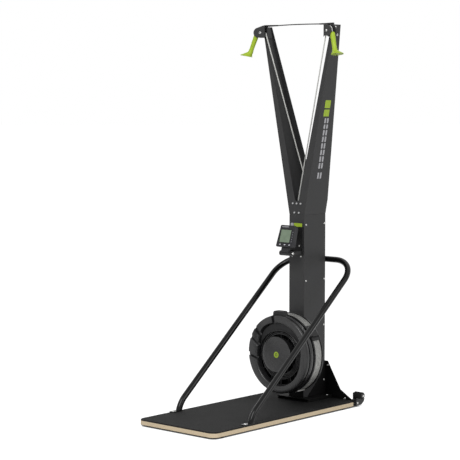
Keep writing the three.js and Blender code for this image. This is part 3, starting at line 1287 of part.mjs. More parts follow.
function monitorBracket() {
  const plateFront = COLUMN_FRONT_Y - FIT - WALL_PLATE_THICKNESS;
  const plate = block(
    -WALL_PLATE_WIDTH / 2, WALL_PLATE_WIDTH / 2, plateFront, COLUMN_FRONT_Y - FIT,
    MONITOR_HINGE_Z - WALL_PLATE_LOW, MONITOR_HINGE_Z + WALL_PLATE_HIGH);
  const inner = KNUCKLE_HALF + FIT;
  const outer = inner + BRACKET_KNUCKLE_WIDTH;
  const sides = [[inner, outer], [-outer, -inner]].flatMap(([x0, x1]) => [
    block(
      x0, x1, HINGE_Y, plateFront + WALL_PLATE_THICKNESS / 2,
      MONITOR_HINGE_Z - MONITOR_ARM_HEIGHT / 2, MONITOR_HINGE_Z + MONITOR_ARM_HEIGHT / 2),
    turnedX(rodProfile(KNUCKLE_RADIUS, x0, x1), ROUND_STEPS).translate(0, HINGE_Y, MONITOR_HINGE_Z),
  ]);
  const pin = turnedX(rodProfile(HINGE_PIN_RADIUS, -outer, outer), COARSE_STEPS)
    .translate(0, HINGE_Y, MONITOR_HINGE_Z);
  return united(plate, ...sides, pin);
}

addPiece('monitor_bracket', monitorBracket(), 'black_plastic');

// Monitor: front and back case, screen lens and buttons, in a group that tilts on the pin.
// In the group x runs across, y back and z up along the face.
const monitor = new THREE.Group();
monitor.position.set(0, HINGE_Y, MONITOR_HINGE_Z);
monitor.rotation.x = -THREE.MathUtils.degToRad(MONITOR_TILT_BACK);
machine.add(monitor);
const FACE_Y = -FACE_SETOUT;
const SPLIT_Y = FACE_Y + FRONT_CASE_DEPTH;
const SCREEN_Z = FACE_LOW + SCREEN_CENTRE_RISE;

function faceOutline(inset) {
  const top = FACE_LOW + FACE_HEIGHT - inset;
  const low = FACE_LOW + inset;
  const corners = [
    [-FACE_LOW_HALF + inset, low], [FACE_LOW_HALF - inset, low], [FACE_TOP_HALF - inset, top],
    [-FACE_TOP_HALF + inset, top],
  ];
  return roundedOutline(corners, corners.map(() => FACE_CORNER));
}

const SIDE_BUTTON_PLACES = Array.from({ length: SIDE_BUTTONS }, (_, i) => ({
  name: `side_button_${i + 1}`,
  x: SIDE_BUTTON_X,
  z: FACE_LOW + SIDE_BUTTON_FIRST_RISE + (SIDE_BUTTONS - 1 - i) * SIDE_BUTTON_PITCH,
  radius: SIDE_BUTTON_RADIUS,
  stretch: 1,
}));
const MENU_BUTTON_PLACES = Array.from({ length: MENU_BUTTONS }, (_, i) => ({
  name: `menu_button_${i + 1}`,
  x: MENU_BUTTON_FIRST_X + i * MENU_BUTTON_PITCH,
  z: FACE_LOW + MENU_BUTTON_RISE,
  radius: MENU_BUTTON_RADIUS,
  stretch: MENU_BUTTON_STRETCH,
}));
const BUTTON_PLACES = [...SIDE_BUTTON_PLACES, ...MENU_BUTTON_PLACES];

function buttonBody({ x, z, radius, stretch }, margin, from, to) {
  const width = radius * stretch + margin;
  return turnedY(rodProfile(radius + margin, from, to), COARSE_STEPS)
    .scale(width / (radius + margin), 1, 1).translate(x, 0, z);
}

function frontCase() {
  const half = SCREEN_SIZE / 2;
  const recess = block(
    SCREEN_CENTRE_X - half, SCREEN_CENTRE_X + half, FACE_Y - OVERRUN, FACE_Y + SCREEN_RECESS,
    SCREEN_Z - half, SCREEN_Z + half);
  const pockets = BUTTON_PLACES.map((place) => buttonBody(
    place, RUNNING_FIT, FACE_Y - OVERRUN, FACE_Y + BUTTON_POCKET));
  return cut(prismBack(faceOutline(0), FACE_Y, SPLIT_Y), recess, ...pockets);
}

function backCase() {
  const front = SPLIT_Y + FIT;
  const body = prismBack(faceOutline(BACK_CASE_INSET), front, front + BACK_CASE_DEPTH);
  const neck = block(
    -NECK_HALF, NECK_HALF, front, front + NECK_THICKNESS, 0, FACE_LOW + FACE_HEIGHT / 4);
  const knuckle = turnedX(rodProfile(KNUCKLE_RADIUS, -KNUCKLE_HALF, KNUCKLE_HALF), ROUND_STEPS);
  const bore = turnedX(rodProfile(
    HINGE_PIN_RADIUS + RUNNING_FIT, -KNUCKLE_HALF - OVERRUN, KNUCKLE_HALF + OVERRUN), COARSE_STEPS);
  return cut(united(body, neck, knuckle), bore);
}

function lens() {
  const half = SCREEN_SIZE / 2 - FIT;
  const back = FACE_Y + SCREEN_RECESS - FIT;
  return block(
    SCREEN_CENTRE_X - half, SCREEN_CENTRE_X + half, back - LENS_THICKNESS, back,
    SCREEN_Z - half, SCREEN_Z + half);
}

addPiece('monitor_front_case', frontCase(), 'black_plastic', monitor);
addPiece('monitor_back_case', backCase(), 'black_plastic', monitor);
addPiece('monitor_lens', lens(), 'screen_glass', monitor);
for (const place of BUTTON_PLACES) {
  const front = FACE_Y - BUTTON_PROUD;
  addPiece(place.name, buttonBody(place, 0, front, front + BUTTON_DEPTH), 'button_white', monitor);
}

// Brace tubes: from the saddle behind the column out, round and down to the platform's edges
const SADDLE_Y = PANEL_Y + COVER_SHEET + FIT;
const TUBE_Y = SADDLE_Y + SADDLE_BACK + FIT + TUBE_RADIUS;
const TUBE_FOOT_Y = TUBE_Y - TUBE_FOOT_DISTANCE;
const FOOT_TOP_Z = DECK_Z + FOOT_PLATE_THICKNESS;

function rightBrace() {
  const corner = new THREE.Vector3(TUBE_HALF_SPAN, TUBE_Y, TUBE_JOIN_Z);
  const ankle = new THREE.Vector3(TUBE_HALF_SPAN, TUBE_FOOT_Y, DECK_Z + TUBE_FOOT_RISE);
  const route = bentRoute(
    new THREE.Vector3(FIT / 2, TUBE_Y, TUBE_JOIN_Z),
    [{ at: corner, radius: TUBE_TOP_BEND }, { at: ankle, radius: TUBE_FOOT_BEND }],
    new THREE.Vector3(TUBE_HALF_SPAN, TUBE_FOOT_Y, DECK_Z + FOOT_PLATE_THICKNESS / 2));
  const bar = tube(route, TUBE_RADIUS, TUBE_SIDES, TUBE_RADIUS - TUBE_WALL);
  const plate = block(
    TUBE_HALF_SPAN - FOOT_PLATE_HALF_WIDTH, TUBE_HALF_SPAN + FOOT_PLATE_HALF_WIDTH,
    TUBE_FOOT_Y - FOOT_PLATE_FORWARD, TUBE_FOOT_Y + FOOT_PLATE_BACK, DECK_Z, FOOT_TOP_Z);
  const bolt = turnedZ([
    [0, 0], [BOLT_HEAD_RADIUS, 0], [BOLT_HEAD_RADIUS, BOLT_HEAD_HEIGHT / 2],
    [BOLT_HEAD_RADIUS / 2, BOLT_HEAD_HEIGHT], [0, BOLT_HEAD_HEIGHT],
  ], COARSE_STEPS).translate(TUBE_HALF_SPAN, TUBE_FOOT_Y - FOOT_BOLT_FORWARD, FOOT_TOP_Z - FIT);
  return united(bar, plate, bolt);
}

function braceSaddle() {
  const half = TUBE_RADIUS + SADDLE_MARGIN;
  const body = block(
    -SADDLE_HALF_LENGTH, SADDLE_HALF_LENGTH, SADDLE_Y, TUBE_Y + SADDLE_GRIP,
    TUBE_JOIN_Z - half, TUBE_JOIN_Z + half);
  const reach = SADDLE_HALF_LENGTH + OVERRUN;
  const channel = turnedX(rodProfile(TUBE_RADIUS + FIT, -reach, reach), ROUND_STEPS)
    .translate(0, TUBE_Y, TUBE_JOIN_Z);
  return cut(body, channel);
}

addPiece('brace_right', rightBrace(), 'black_steel');
addPiece('brace_left', mirrored(rightBrace()), 'black_steel');
addPiece('brace_saddle', braceSaddle(), 'black_panel');

export default machine;
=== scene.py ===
"""Looks of a standing ski trainer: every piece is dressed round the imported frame, in its millimetres."""

import logging
import math
from dataclasses import dataclass, field
from enum import Enum
from typing import Sequence

import bmesh
import bpy
from mathutils import Matrix, Vector


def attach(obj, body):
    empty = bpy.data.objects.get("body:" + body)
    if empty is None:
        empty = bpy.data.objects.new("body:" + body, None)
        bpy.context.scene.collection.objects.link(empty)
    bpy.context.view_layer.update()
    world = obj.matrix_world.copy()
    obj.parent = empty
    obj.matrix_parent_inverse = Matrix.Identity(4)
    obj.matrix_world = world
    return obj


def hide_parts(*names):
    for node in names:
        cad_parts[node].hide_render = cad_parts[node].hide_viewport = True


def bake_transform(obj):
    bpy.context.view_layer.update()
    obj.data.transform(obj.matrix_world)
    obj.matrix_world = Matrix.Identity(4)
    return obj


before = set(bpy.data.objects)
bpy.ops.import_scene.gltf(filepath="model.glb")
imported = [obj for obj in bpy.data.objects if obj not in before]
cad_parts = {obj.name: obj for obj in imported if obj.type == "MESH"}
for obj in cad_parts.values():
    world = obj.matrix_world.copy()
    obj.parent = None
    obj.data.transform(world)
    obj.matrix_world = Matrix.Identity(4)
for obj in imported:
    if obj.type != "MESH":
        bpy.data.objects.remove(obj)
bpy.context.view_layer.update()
LOG = logging.getLogger("ski_trainer")
MM = 0.001
TURN = 2 * math.pi
# Edges that turn by less, in degrees, are shaded smooth.
SMOOTH_BELOW = 38.0
# Nearly all of a noise pattern's values lie between these.
NOISE_LOW, NOISE_HIGH = 0.3, 0.7
# A printed film's thickness, and how far a thin sheet sinks into what carries it, in millimetres.
FILM, SUNK = 0.35, 0.05
# Facings, with the right side's outward.
OUTWARD, FORWARD, BACKWARD, UPWARD = (1, 0, 0), (0, -1, 0), (0, 1, 0), (0, 0, 1)

Pair = tuple[float, float]
Place = tuple[float, float, float]
Four = tuple[float, float, float, float]
Points = Sequence[Sequence[float]]
Tree, Node, Socket = bpy.types.NodeTree, bpy.types.Node, bpy.types.NodeSocket


class Side(Enum):
    """The machine's right and left, as the nodes spell them."""

    RIGHT = 1
    LEFT = -1

    @property
    def word(self) -> str:
        """The side as it stands in a node's name."""
        return self.name.lower()


# Meshes


@dataclass
class Shape:
    """Corners in millimetres, the faces between them, and each face's marks (share round, length along)."""

    corners: list[Vector] = field(default_factory=list)
    faces: list[tuple[int, ...]] = field(default_factory=list)
    marks: list[list[Pair]] = field(default_factory=list)

    def ring(self, points: Points) -> list[int]:
        """Adds corners.

        Args:
            points: the new corners, in millimetres.

        Returns:
            Their numbers.
        """
        first = len(self.corners)
        self.corners += [Vector(p) for p in points]
        return list(range(first, len(self.corners)))

    def bridge(self, a: list[int], b: list[int], low: float = 0.0, high: float = 1.0) -> None:
        """Joins two closed rings, or a ring and a single corner, with faces.

        Args:
            a: the first ring's numbers.
            b: the second ring's numbers.
            low: the length along at the first ring.
            high: the length along at the second ring.
        """
        count = max(len(a), len(b))
        for i in range(count):
            j = (i + 1) % count
            left, right = i / count, (i + 1) / count
            if len(a) == 1:
                self.faces.append((a[0], b[i], b[j]))
                self.marks.append([(left, low), (left, high), (right, high)])
            elif len(b) == 1:
                self.faces.append((a[i], a[j], b[0]))
                self.marks.append([(left, low), (right, low), (left, high)])
            else:
                self.faces.append((a[i], a[j], b[j], b[i]))
                self.marks.append([(left, low), (right, low), (right, high), (left, high)])

    def cap(self, ring: list[int]) -> None:
        """Closes a ring with one flat face."""
        self.faces.append(tuple(ring))
        self.marks.append([(self.corners[i].x, self.corners[i].y) for i in ring])

    def joined(self, *others: "Shape") -> "Shape":
        """This shape with others added to it.

        Args:
            others: shapes in the same place.

        Returns:
            A new shape.
        """
        whole = Shape(list(self.corners), list(self.faces), list(self.marks))
        for other in others:
            first = len(whole.corners)
            whole.corners += other.corners
            whole.faces += [tuple(i + first for i in face) for face in other.faces]
            whole.marks += other.marks
        return whole

    def placed(self, matrix: Matrix) -> "Shape":
        """The shape moved by a matrix."""
        return Shape([matrix @ c for c in self.corners], self.faces, self.marks)

    def on(self, side: Side) -> "Shape":
        """The shape as drawn for the right, or its mirror image for the left."""
        return self.placed(Matrix.Scale(-1, 4, Vector((1, 0, 0)))) if side is Side.LEFT else self


def lathe(profile: Points, steps: int = 48, closed: bool = False, hexed: Sequence[int] = ()) -> Shape:
    """Turns a profile round Z.

    Args:
        profile: pairs of radius and height.
        steps: the number of sides.
        closed: whether the last point joins the first.
        hexed: the places in the profile that are six-sided.

    Returns:
        The turned shape.
    """
    shape = Shape()
    rings: list[list[int]] = []
    along = [0.0]
    for before, here in zip(profile, profile[1:]):
        along.append(along[-1] + math.dist(before, here))
    for index, (radius, height) in enumerate(profile):
        if radius == 0:
            rings.append(shape.ring([(0, 0, height)]))
            continue
        points = []
        for step in range(steps):
            angle = TURN * step / steps
            flat = math.cos(TURN / 12) / math.cos(angle % (TURN / 6) - TURN / 12) if index in hexed else 1.0
            points.append((radius * flat * math.cos(angle), radius * flat * math.sin(angle), height))
        rings.append(shape.ring(points))
    for index in range(len(rings) - 1):
        shape.bridge(rings[index], rings[index + 1], along[index], along[index + 1])
    if closed:
        shape.bridge(rings[-1], rings[0], along[-1], along[-1] + math.dist(profile[-1], profile[0]))
    return shape


def ring_stack(rings: Sequence[tuple[Vector, Vector, float]], steps: int = 32) -> Shape:
    """A closed round body through rings.

    Args:
        rings: each ring's centre, facing and radius.
        steps: the number of sides.

    Returns:
        The body, with a flat cap at each end.
    """
    shape = Shape()
    rows: list[list[int]] = []
    along = 0.0
    for index, (centre, facing, radius) in enumerate(rings):
        across = Vector((0, 1, 0)).cross(facing).normalized()
        up = facing.cross(across).normalized()
        rows.append(shape.ring([
            centre + across * radius * math.cos(TURN * i / steps) + up * radius * math.sin(TURN * i / steps)
            for i in range(steps)]))
        if index:
            step = (centre - rings[index - 1][0]).length
            shape.bridge(rows[-2], rows[-1], along, along + step)
            along += step
    shape.cap(rows[0])
    shape.cap(rows[-1])
    return shape


def sweep(path: Sequence[Vector], radius: float, sides: int = 16) -> Shape:
    """A round bar along a path.

    Args:
        path: the points that it follows.
        radius: its radius.
        sides: the number of sides.

    Returns:
        The bar, closed at both ends.
    """
    shape = Shape()
    rows: list[list[int]] = []
    ways = [(path[min(i + 1, len(path) - 1)] - path[max(i - 1, 0)]).normalized() for i in range(len(path))]
    across = ways[0].orthogonal().normalized()
    along = 0.0
    for index, (here, way) in enumerate(zip(path, ways)):
        across = (across - way * across.dot(way)).normalized()
        up = way.cross(across)
        rows.append(shape.ring([
            here + (across * math.cos(TURN * i / sides) + up * math.sin(TURN * i / sides)) * radius
            for i in range(sides)]))
        if index:
            step = (here - path[index - 1]).length
            shape.bridge(rows[-2], rows[-1], along, along + step)
            along += step
    shape.cap(rows[0])
    shape.cap(rows[-1])
    return shape


def prism(outline: Points, low: float, high: float) -> Shape:
    """An outline in x and y drawn up from one height to another.

    Args:
        outline: the outline's corners.
        low: the lower height.
        high: the upper height.

    Returns:
        The prism, closed at both ends.
    """
    shape = Shape()
    bottom, top = (shape.ring([(x, y, z) for x, y in outline]) for z in (low, high))
    shape.bridge(bottom, top, low, high)
    shape.cap(bottom)
    shape.cap(top)
    return shape


def fillet(before: Vector, at: Vector, after: Vector, radius: float, steps: int) -> list[Vector]:
    """An arc in place of a corner.

    Args:
        before: a point before the corner.
        at: the corner.
        after: a point after it.
        radius: the arc's radius.
        steps: the number of steps.

    Returns:
        The arc's points.
    """
    arms = (before - at).normalized(), (after - at).normalized()
    half = arms[0].angle(arms[1]) / 2
    centre = at + (arms[0] + arms[1]).normalized() * radius / math.sin(half)
    first, last = (at + arm * radius / math.tan(half) - centre for arm in arms)
    return [centre + first.slerp(last, i / steps) * first.length for i in range(steps + 1)]


def rounded(corners: Points, radius: float, steps: int = 5) -> list[Vector]:
    """An outline with each corner rounded.

    Args:
        corners: the outline's corners.
        radius: the radius of each rounding.
        steps: the steps in each rounding.

    Returns:
        The rounded outline.
    """
    at = [Vector(corner) for corner in corners]
    around = zip(at[-1:] + at[:-1], at, at[1:] + at[:1])
    return [point for corner in around for point in fillet(*corner, radius, steps)]


def box_outline(x0: float, x1: float, y0: float, y1: float) -> Points:
    """The four corners of a rectangle."""
    return [(x0, y0), (x1, y0), (x1, y1), (x0, y1)]


def aimed(at: Sequence[float], facing: Sequence[float]) -> Matrix:
    """A matrix that puts the origin at a point and turns +Z to a facing."""
    return Matrix.Translation(Vector(at)) @ Vector(facing).to_track_quat("Z", "Y").to_matrix().to_4x4()


def turned_back(at: Sequence[float] = (0, 0, 0)) -> Matrix:
    """A matrix that lays x and y on x and z, and the height along +Y, from a point."""
    return Matrix.Translation(Vector(at)) @ Matrix(((1, 0, 0, 0), (0, 0, 1, 0), (0, 1, 0, 0), (0, 0, 0, 1)))


def both_sides(places: Points, facing: Sequence[float] | None = None) -> list[tuple[Place, Sequence[float]]]:
    """Places and their mirror images, each with a facing, or facing outward where none is given."""
    return [((x * s, y, z), facing or (s, 0, 0)) for x, y, z in places for s in (1, -1)]


# Finishes


def linear(code: str) -> Four:
    """An sRGB hex value as the linear colour that the shaders take."""
    parts = [int(code[i:i + 2], 16) / 255 for i in (0, 2, 4)]
    return (*[c / 12.92 if c <= 0.04045 else ((c + 0.055) / 1.055) ** 2.4 for c in parts], 1.0)


def add_node(tree: Tree, kind: str, links: dict | None = None, stops: Sequence[tuple[float, str]] = (),
             **settings: object) -> Node:
    """Adds a node.

    Args:
        tree: the tree that it goes into.
        kind: the shader node's type, without the words ShaderNode.
        links: what feeds each input, by the input's name or number: a socket, or a plain value.
        stops: the places and hex colours along a ramp.
        settings: the node's own settings, and values for inputs with a _ for each space.

    Returns:
        The node.
    """
    made = tree.nodes.new(f"ShaderNode{kind}")
    for name, value in settings.items():
        if hasattr(made, name):
            setattr(made, name, value)
        else:
            made.inputs[name.replace("_", " ")].default_value = value
    for name, source in (links or {}).items():
        if isinstance(source, Socket):
            tree.links.new(source, made.inputs[name])
        else:
            made.inputs[name].default_value = source
    for index, (position, code) in enumerate(stops):
        stop = made.color_ramp.elements[index]
        stop.position, stop.color = position, linear(code)
    return made


@dataclass(frozen=True)
class Finish:
    """A name, a colour and its second shade, how rough, metallic and reflective it is, and its slot."""

    label: str
    colour: str
    roughness: float
    metallic: float = 0.0
    sheen: float = 0.5
    second: str = ""
    slot: str = ""

    def material(self) -> bpy.types.Material:
        """The finish's material, made once.

        Returns:
            The material.
        """
        kept = bpy.data.materials.get(self.label)
        if kept is not None:
            return kept
        made = bpy.data.materials.new(self.label)
        made.use_nodes = True
        made.diffuse_color = linear(self.colour)
        shader = made.node_tree.nodes["Principled BSDF"]
        for name, value in self.even().items():
            shader.inputs[name].default_value = value
        for name, source in self.surface(made.node_tree).items():
            made.node_tree.links.new(source, shader.inputs[name])
        return made

    def even(self) -> dict[str, object]:
        """What is the same all over the surface, by the shader's input."""
        return {"Base Color": linear(self.colour), "Roughness": self.roughness, "Metallic": self.metallic,
                "Specular IOR Level": self.sheen}

    def surface(self, tree: Tree) -> dict[str, Socket]:
        """What varies over the surface, by the shader's input."""
        return {}

    def shades(self, start: float, end: float) -> list[tuple[float, str]]:
        """A ramp's stops from the colour to its second shade."""
        return [(start, self.colour), (end, self.second)]

    def grains(self, tree: Tree, size: float, detail: float) -> Socket:
        """A cloudy pattern.

        Args:
            tree: the material's tree.
            size: the size of one cloud in millimetres.
            detail: how many finer layers it has.

        Returns:
            Its value, from 0 to 1.
        """
        place = add_node(tree, "TexCoord").outputs["Object"]
        return add_node(
            tree, "TexNoise", {"Vector": place}, Scale=1 / (size * MM), Detail=detail).outputs["Fac"]


@dataclass(frozen=True)
class CloudedFinish(Finish):
    """A surface with faint clouds in its shade, their play in its gloss, and a fine grain."""

    cloud: float = 0.0
    cloud_layers: float = 0.0
    cloud_span: Pair = (0.0, 1.0)
    play: tuple[float, ...] = ()
    grain: float = 1.0
    grain_layers: float = 0.0
    depth: float = 0.0

    def surface(self, tree: Tree) -> dict[str, Socket]:
        """Lays the clouds, their play and the grain.

        Args:
            tree: the material's tree.

        Returns:
            What varies over the surface, by the shader's input.
        """
        clouds = self.grains(tree, self.cloud, self.cloud_layers)
        laid = {"Base Color": add_node(
            tree, "ValToRGB", {"Fac": clouds}, self.shades(*self.cloud_span)).outputs["Color"]}
        if self.play:
            low, high = (self.roughness + change for change in self.play)
            laid["Roughness"] = add_node(
                tree, "MapRange", {"Value": clouds}, From_Min=NOISE_LOW, From_Max=NOISE_HIGH,
                To_Min=low, To_Max=high).outputs["Result"]
        if self.depth:
            grain = self.grains(tree, self.grain, self.grain_layers)
            laid["Normal"] = add_node(
                tree, "Bump", {"Height": grain}, Strength=1.0, Distance=self.depth * MM).outputs["Normal"]
        return laid


@dataclass(frozen=True)
class PowderCoat(CloudedFinish):
    """Sprayed and baked polyester powder: a fine orange-peel skin that breaks up highlights."""

    slot: str = "black_steel"
    cloud: float = 90.0
    cloud_layers: float = 3.0
    cloud_span: Pair = (0.35, 0.7)
    play: tuple[float, ...] = (-0.05, 0.07)
    grain: float = 2.2
    grain_layers: float = 1.0
    depth: float = 0.05


@dataclass(frozen=True)
class MouldedPlastic(CloudedFinish):
    """Injection-moulded ABS, nylon, polypropylene or silicone, with the spark-eroded grain of its mould."""

    slot: str = "black_plastic"
    cloud: float = 45.0
    cloud_layers: float = 2.0
    cloud_span: Pair = (0.3, 0.75)
    play: tuple[float, ...] = (0.05, -0.05)
    grain: float = 0.9
    depth: float = 0.04


@dataclass(frozen=True)
class Rubber(CloudedFinish):
    """Moulded rubber: deep black, matt, with a faint bloom in clouds."""

    slot: str = "rubber"
    cloud: float = 14.0
    cloud_layers: float = 3.0
    cloud_span: Pair = (0.4, 0.8)
    grain: float = 0.8
    grain_layers: float = 1.0
    depth: float = 0.05


@dataclass(frozen=True)
class PrintedFilm(CloudedFinish):
    """Screen-printed vinyl film: flat colour with a dull sheen and the ink's fine mottle."""

    slot: str = "button_white"
    cloud: float = 6.0
    cloud_layers: float = 3.0
    cloud_span: Pair = (0.35, 0.9)
    grain: float = 0.6
    depth: float = 0.02


@dataclass(frozen=True)
class DisplayGlass(CloudedFinish):
    """A reflective liquid-crystal cell under clear acrylic: grey-green, with a hard gloss on top."""

    cloud: float = 30.0
    cloud_layers: float = 2.0
    cloud_span: Pair = (0.3, 0.75)
    coat: float = 0.6
    coat_roughness: float = 0.06

    def even(self) -> dict[str, object]:
        """What is the same all over, with the acrylic as a clear coat."""
        return {**super().even(), "Coat Weight": self.coat, "Coat Roughness": self.coat_roughness}


@dataclass(frozen=True)
class PlatedSteel(Finish):
    """Zinc-plated or satin steel: turned or rolled lines in a soft metal gloss."""

    slot: str = "bright_steel"
    stretch: Place = (1.0, 1.0, 1.0)
    line: float = 7.0
    play: Pair = (-0.08, 0.1)
    depth: float = 0.02

    def surface(self, tree: Tree) -> dict[str, Socket]:
        """Lays fine lines along one way, and their play in the gloss.

        Args:
            tree: the material's tree.

        Returns:
            What varies over the surface, by the shader's input.
        """
        place = add_node(tree, "TexCoord").outputs["Object"]
        drawn = add_node(tree, "Mapping", {"Vector": place}, Scale=self.stretch).outputs["Vector"]
        lines = add_node(
            tree, "TexNoise", {"Vector": drawn}, Scale=1 / (self.line * MM), Detail=2.0).outputs["Fac"]
        low, high = (self.roughness + change for change in self.play)
        gloss = add_node(
            tree, "MapRange", {"Value": lines}, From_Min=NOISE_LOW, From_Max=NOISE_HIGH, To_Min=low,
            To_Max=high)
        bump = add_node(tree, "Bump", {"Height": lines}, Strength=0.6, Distance=self.depth * MM)
        return {"Roughness": gloss.outputs["Result"], "Normal": bump.outputs["Normal"]}


@dataclass(frozen=True)
class BirchPlywood(Finish):
    """Sanded birch plywood: pale and darker plies by turns along the cut edge, with short grain streaks.

    The upper and lower lines of its edge are darker: their colour and the two heights where they begin are
    given together.
    """

    ply: float = 1.8
    waver: float = 0.3
    waver_length: float = 60.0
    streak: float = 9.0
    stretch: float = 0.12
    contrast: float = 0.22
    sealed: tuple[str, float, float] = ("17130d", 10.2, 31.6)
    depth: float = 0.08

    def surface(self, tree: Tree) -> dict[str, Socket]:
        """Lays the plies by height, the streaks along them and the sealed lines.

        Args:
            tree: the material's tree.

        Returns:
            Lays the plies by height, the streaks along them and the dark lines at the top and bottom of the
            edge.
        """
        place = add_node(tree, "TexCoord").outputs["Object"]
        height = add_node(tree, "SeparateXYZ", {"Vector": place}).outputs["Z"]
        wavy = add_node(
            tree, "Math", {0: self.grains(tree, self.waver_length, 1), 1: self.waver * MM, 2: height},
            operation="MULTIPLY_ADD").outputs[0]
        turns = add_node(
            tree, "Math", {0: wavy, 1: math.pi / (self.ply * MM)}, operation="MULTIPLY").outputs[0]
        bands = add_node(tree, "Math", {0: turns}, operation="SINE").outputs[0]
        drawn = add_node(
            tree, "Mapping", {"Vector": place}, Scale=(self.stretch, self.stretch, 1.0)).outputs["Vector"]
        streaks = add_node(
            tree, "TexNoise", {"Vector": drawn}, Scale=1 / (self.streak * self.stretch * MM),
            Detail=3.0).outputs["Fac"]
        shade = add_node(
            tree, "Math", {0: bands, 1: self.contrast, 2: streaks}, operation="MULTIPLY_ADD").outputs[0]
        wood = add_node(tree, "ValToRGB", {"Fac": shade}, self.shades(0.3, 0.95)).outputs["Color"]
        # the edge's top and bottom lines are darkened to one colour
        edge_line_colour, low, high = self.sealed
        for edge, soft in ((high, 0.5), (low, -0.5)):
            share = add_node(
                tree, "MapRange", {"Value": height}, From_Min=(edge - soft) * MM,
                From_Max=(edge + soft) * MM, To_Min=0.0, To_Max=1.0).outputs["Result"]
            wood = add_node(
                tree, "Mix", {"Factor": share, "A": wood}, data_type="RGBA", B=linear(edge_line_colour)).outputs[2]
        bump = add_node(tree, "Bump", {"Height": shade}, Strength=1.0, Distance=self.depth * MM)
        return {"Base Color": wood, "Normal": bump.outputs["Normal"]}


@dataclass(frozen=True)
class GritSheet(Finish):
    """Rubber sheet with rolled-in grit, drawn a little coarser than it is so that it shows.

    Painted light and shade: lighter at the front, darker towards the rear under the housing, over a span of
    y.
    """

    grit: float = 1.6
    scuff: float = 150.0
    # Painted light at the front and painted shade towards the rear under the housing, and the span of y
    # between them.
    painted_front_light: str = "373737"
    clean: str = "040404"
    painted_shade_y: Pair = (20.0, 260.0)
    depth: float = 0.25

    def surface(self, tree: Tree) -> dict[str, Socket]:
        """Lays the grit, the scuffs, and the painted light and shade from front to rear.

        Args:
            tree: the material's tree.

        Returns:
            What varies over the surface, by the shader's input.
        """
        place = add_node(tree, "TexCoord").outputs["Object"]
        cells = add_node(
            tree, "TexVoronoi", {"Vector": place}, Scale=1 / (self.grit * MM)).outputs["Distance"]
        scuffs = add_node(
            tree, "ValToRGB", {"Fac": self.grains(tree, self.scuff, 4)}, self.shades(0.4, 0.8))
        along = add_node(tree, "SeparateXYZ", {"Vector": place}).outputs["Y"]
        start, end = self.painted_shade_y
        back = add_node(
            tree, "MapRange", {"Value": along}, From_Min=start * MM, From_Max=end * MM, To_Min=0.0,
            To_Max=1.0).outputs["Result"]
        # painted shade: from the lit front tone to the near-black rear tone under the housing
        painted_front_light = add_node(tree, "ValToRGB", {"Fac": back}, [(0.0, self.painted_front_light), (1.0, self.clean)])
        mixed = add_node(
            tree, "Mix", {"A": scuffs.outputs["Color"], "B": painted_front_light.outputs["Color"]}, data_type="RGBA")
        bump = add_node(tree, "Bump", {"Height": cells}, Strength=1.0, Distance=self.depth * MM)
        return {"Base Color": mixed.outputs[2], "Normal": bump.outputs["Normal"]}


@dataclass(frozen=True)
class BraidedCord(Finish):
    """A braided polyester sheath: strands that cross in small diamonds."""

    strands: int = 6
    lay: float = 11.0
    depth: float = 0.2

    def surface(self, tree: Tree) -> dict[str, Socket]:
        """Lays the two families of strands from the marks along the cord.

        Args:
            tree: the material's tree.

        Returns:
            What varies over the surface, by the shader's input.
        """
        marks = add_node(tree, "UVMap").outputs["UV"]
        split = add_node(tree, "SeparateXYZ", {"Vector": marks})
        waves = []
        for way in (1, -1):
            along = add_node(
                tree, "Math", {0: split.outputs["Y"], 1: way * TURN / self.lay},
                operation="MULTIPLY").outputs[0]
            turn = add_node(
                tree, "Math", {0: split.outputs["X"], 1: TURN * self.strands, 2: along},
                operation="MULTIPLY_ADD").outputs[0]
            waves.append(add_node(tree, "Math", {0: turn}, operation="SINE").outputs[0])
        weave = add_node(tree, "Math", {0: waves[0], 1: waves[1]}, operation="MULTIPLY").outputs[0]
        shades = add_node(tree, "ValToRGB", {"Fac": weave}, [(0.0, self.second), (0.45, self.colour)])
        bump = add_node(tree, "Bump", {"Height": weave}, Strength=1.0, Distance=self.depth * MM)
        return {"Base Color": shades.outputs["Color"], "Normal": bump.outputs["Normal"]}


FRAME_COAT = PowderCoat("powder_coated_frame_steel", "303031", 0.5, sheen=0.3, second="383838")
TUBE_COAT = PowderCoat("powder_coated_tube_steel", "080808", 0.13, sheen=0.22, second="0f0f10")
PANEL_COAT = PowderCoat("powder_coated_panel_steel", "090909", 0.6, sheen=0.1, second="0e0e0e")
SHELL_ABS = MouldedPlastic("moulded_abs_shell", "1f1f20", 0.28, second="272728")
CASE_ABS = MouldedPlastic("moulded_abs_monitor_case", "1b1b1f", 0.45, sheen=0.35, second="232326", grain=0.7)
FAN_NYLON = MouldedPlastic("moulded_nylon_fan", "161617", 0.5, sheen=0.25, second="1e1e20")
# Darker than the shell: partly a black moulding, partly painted shade in the recess under the face's inner
# edge.
COVE_ABS = MouldedPlastic("moulded_abs_cove", "141415", 0.45, sheen=0.28, second="1a1a1b")
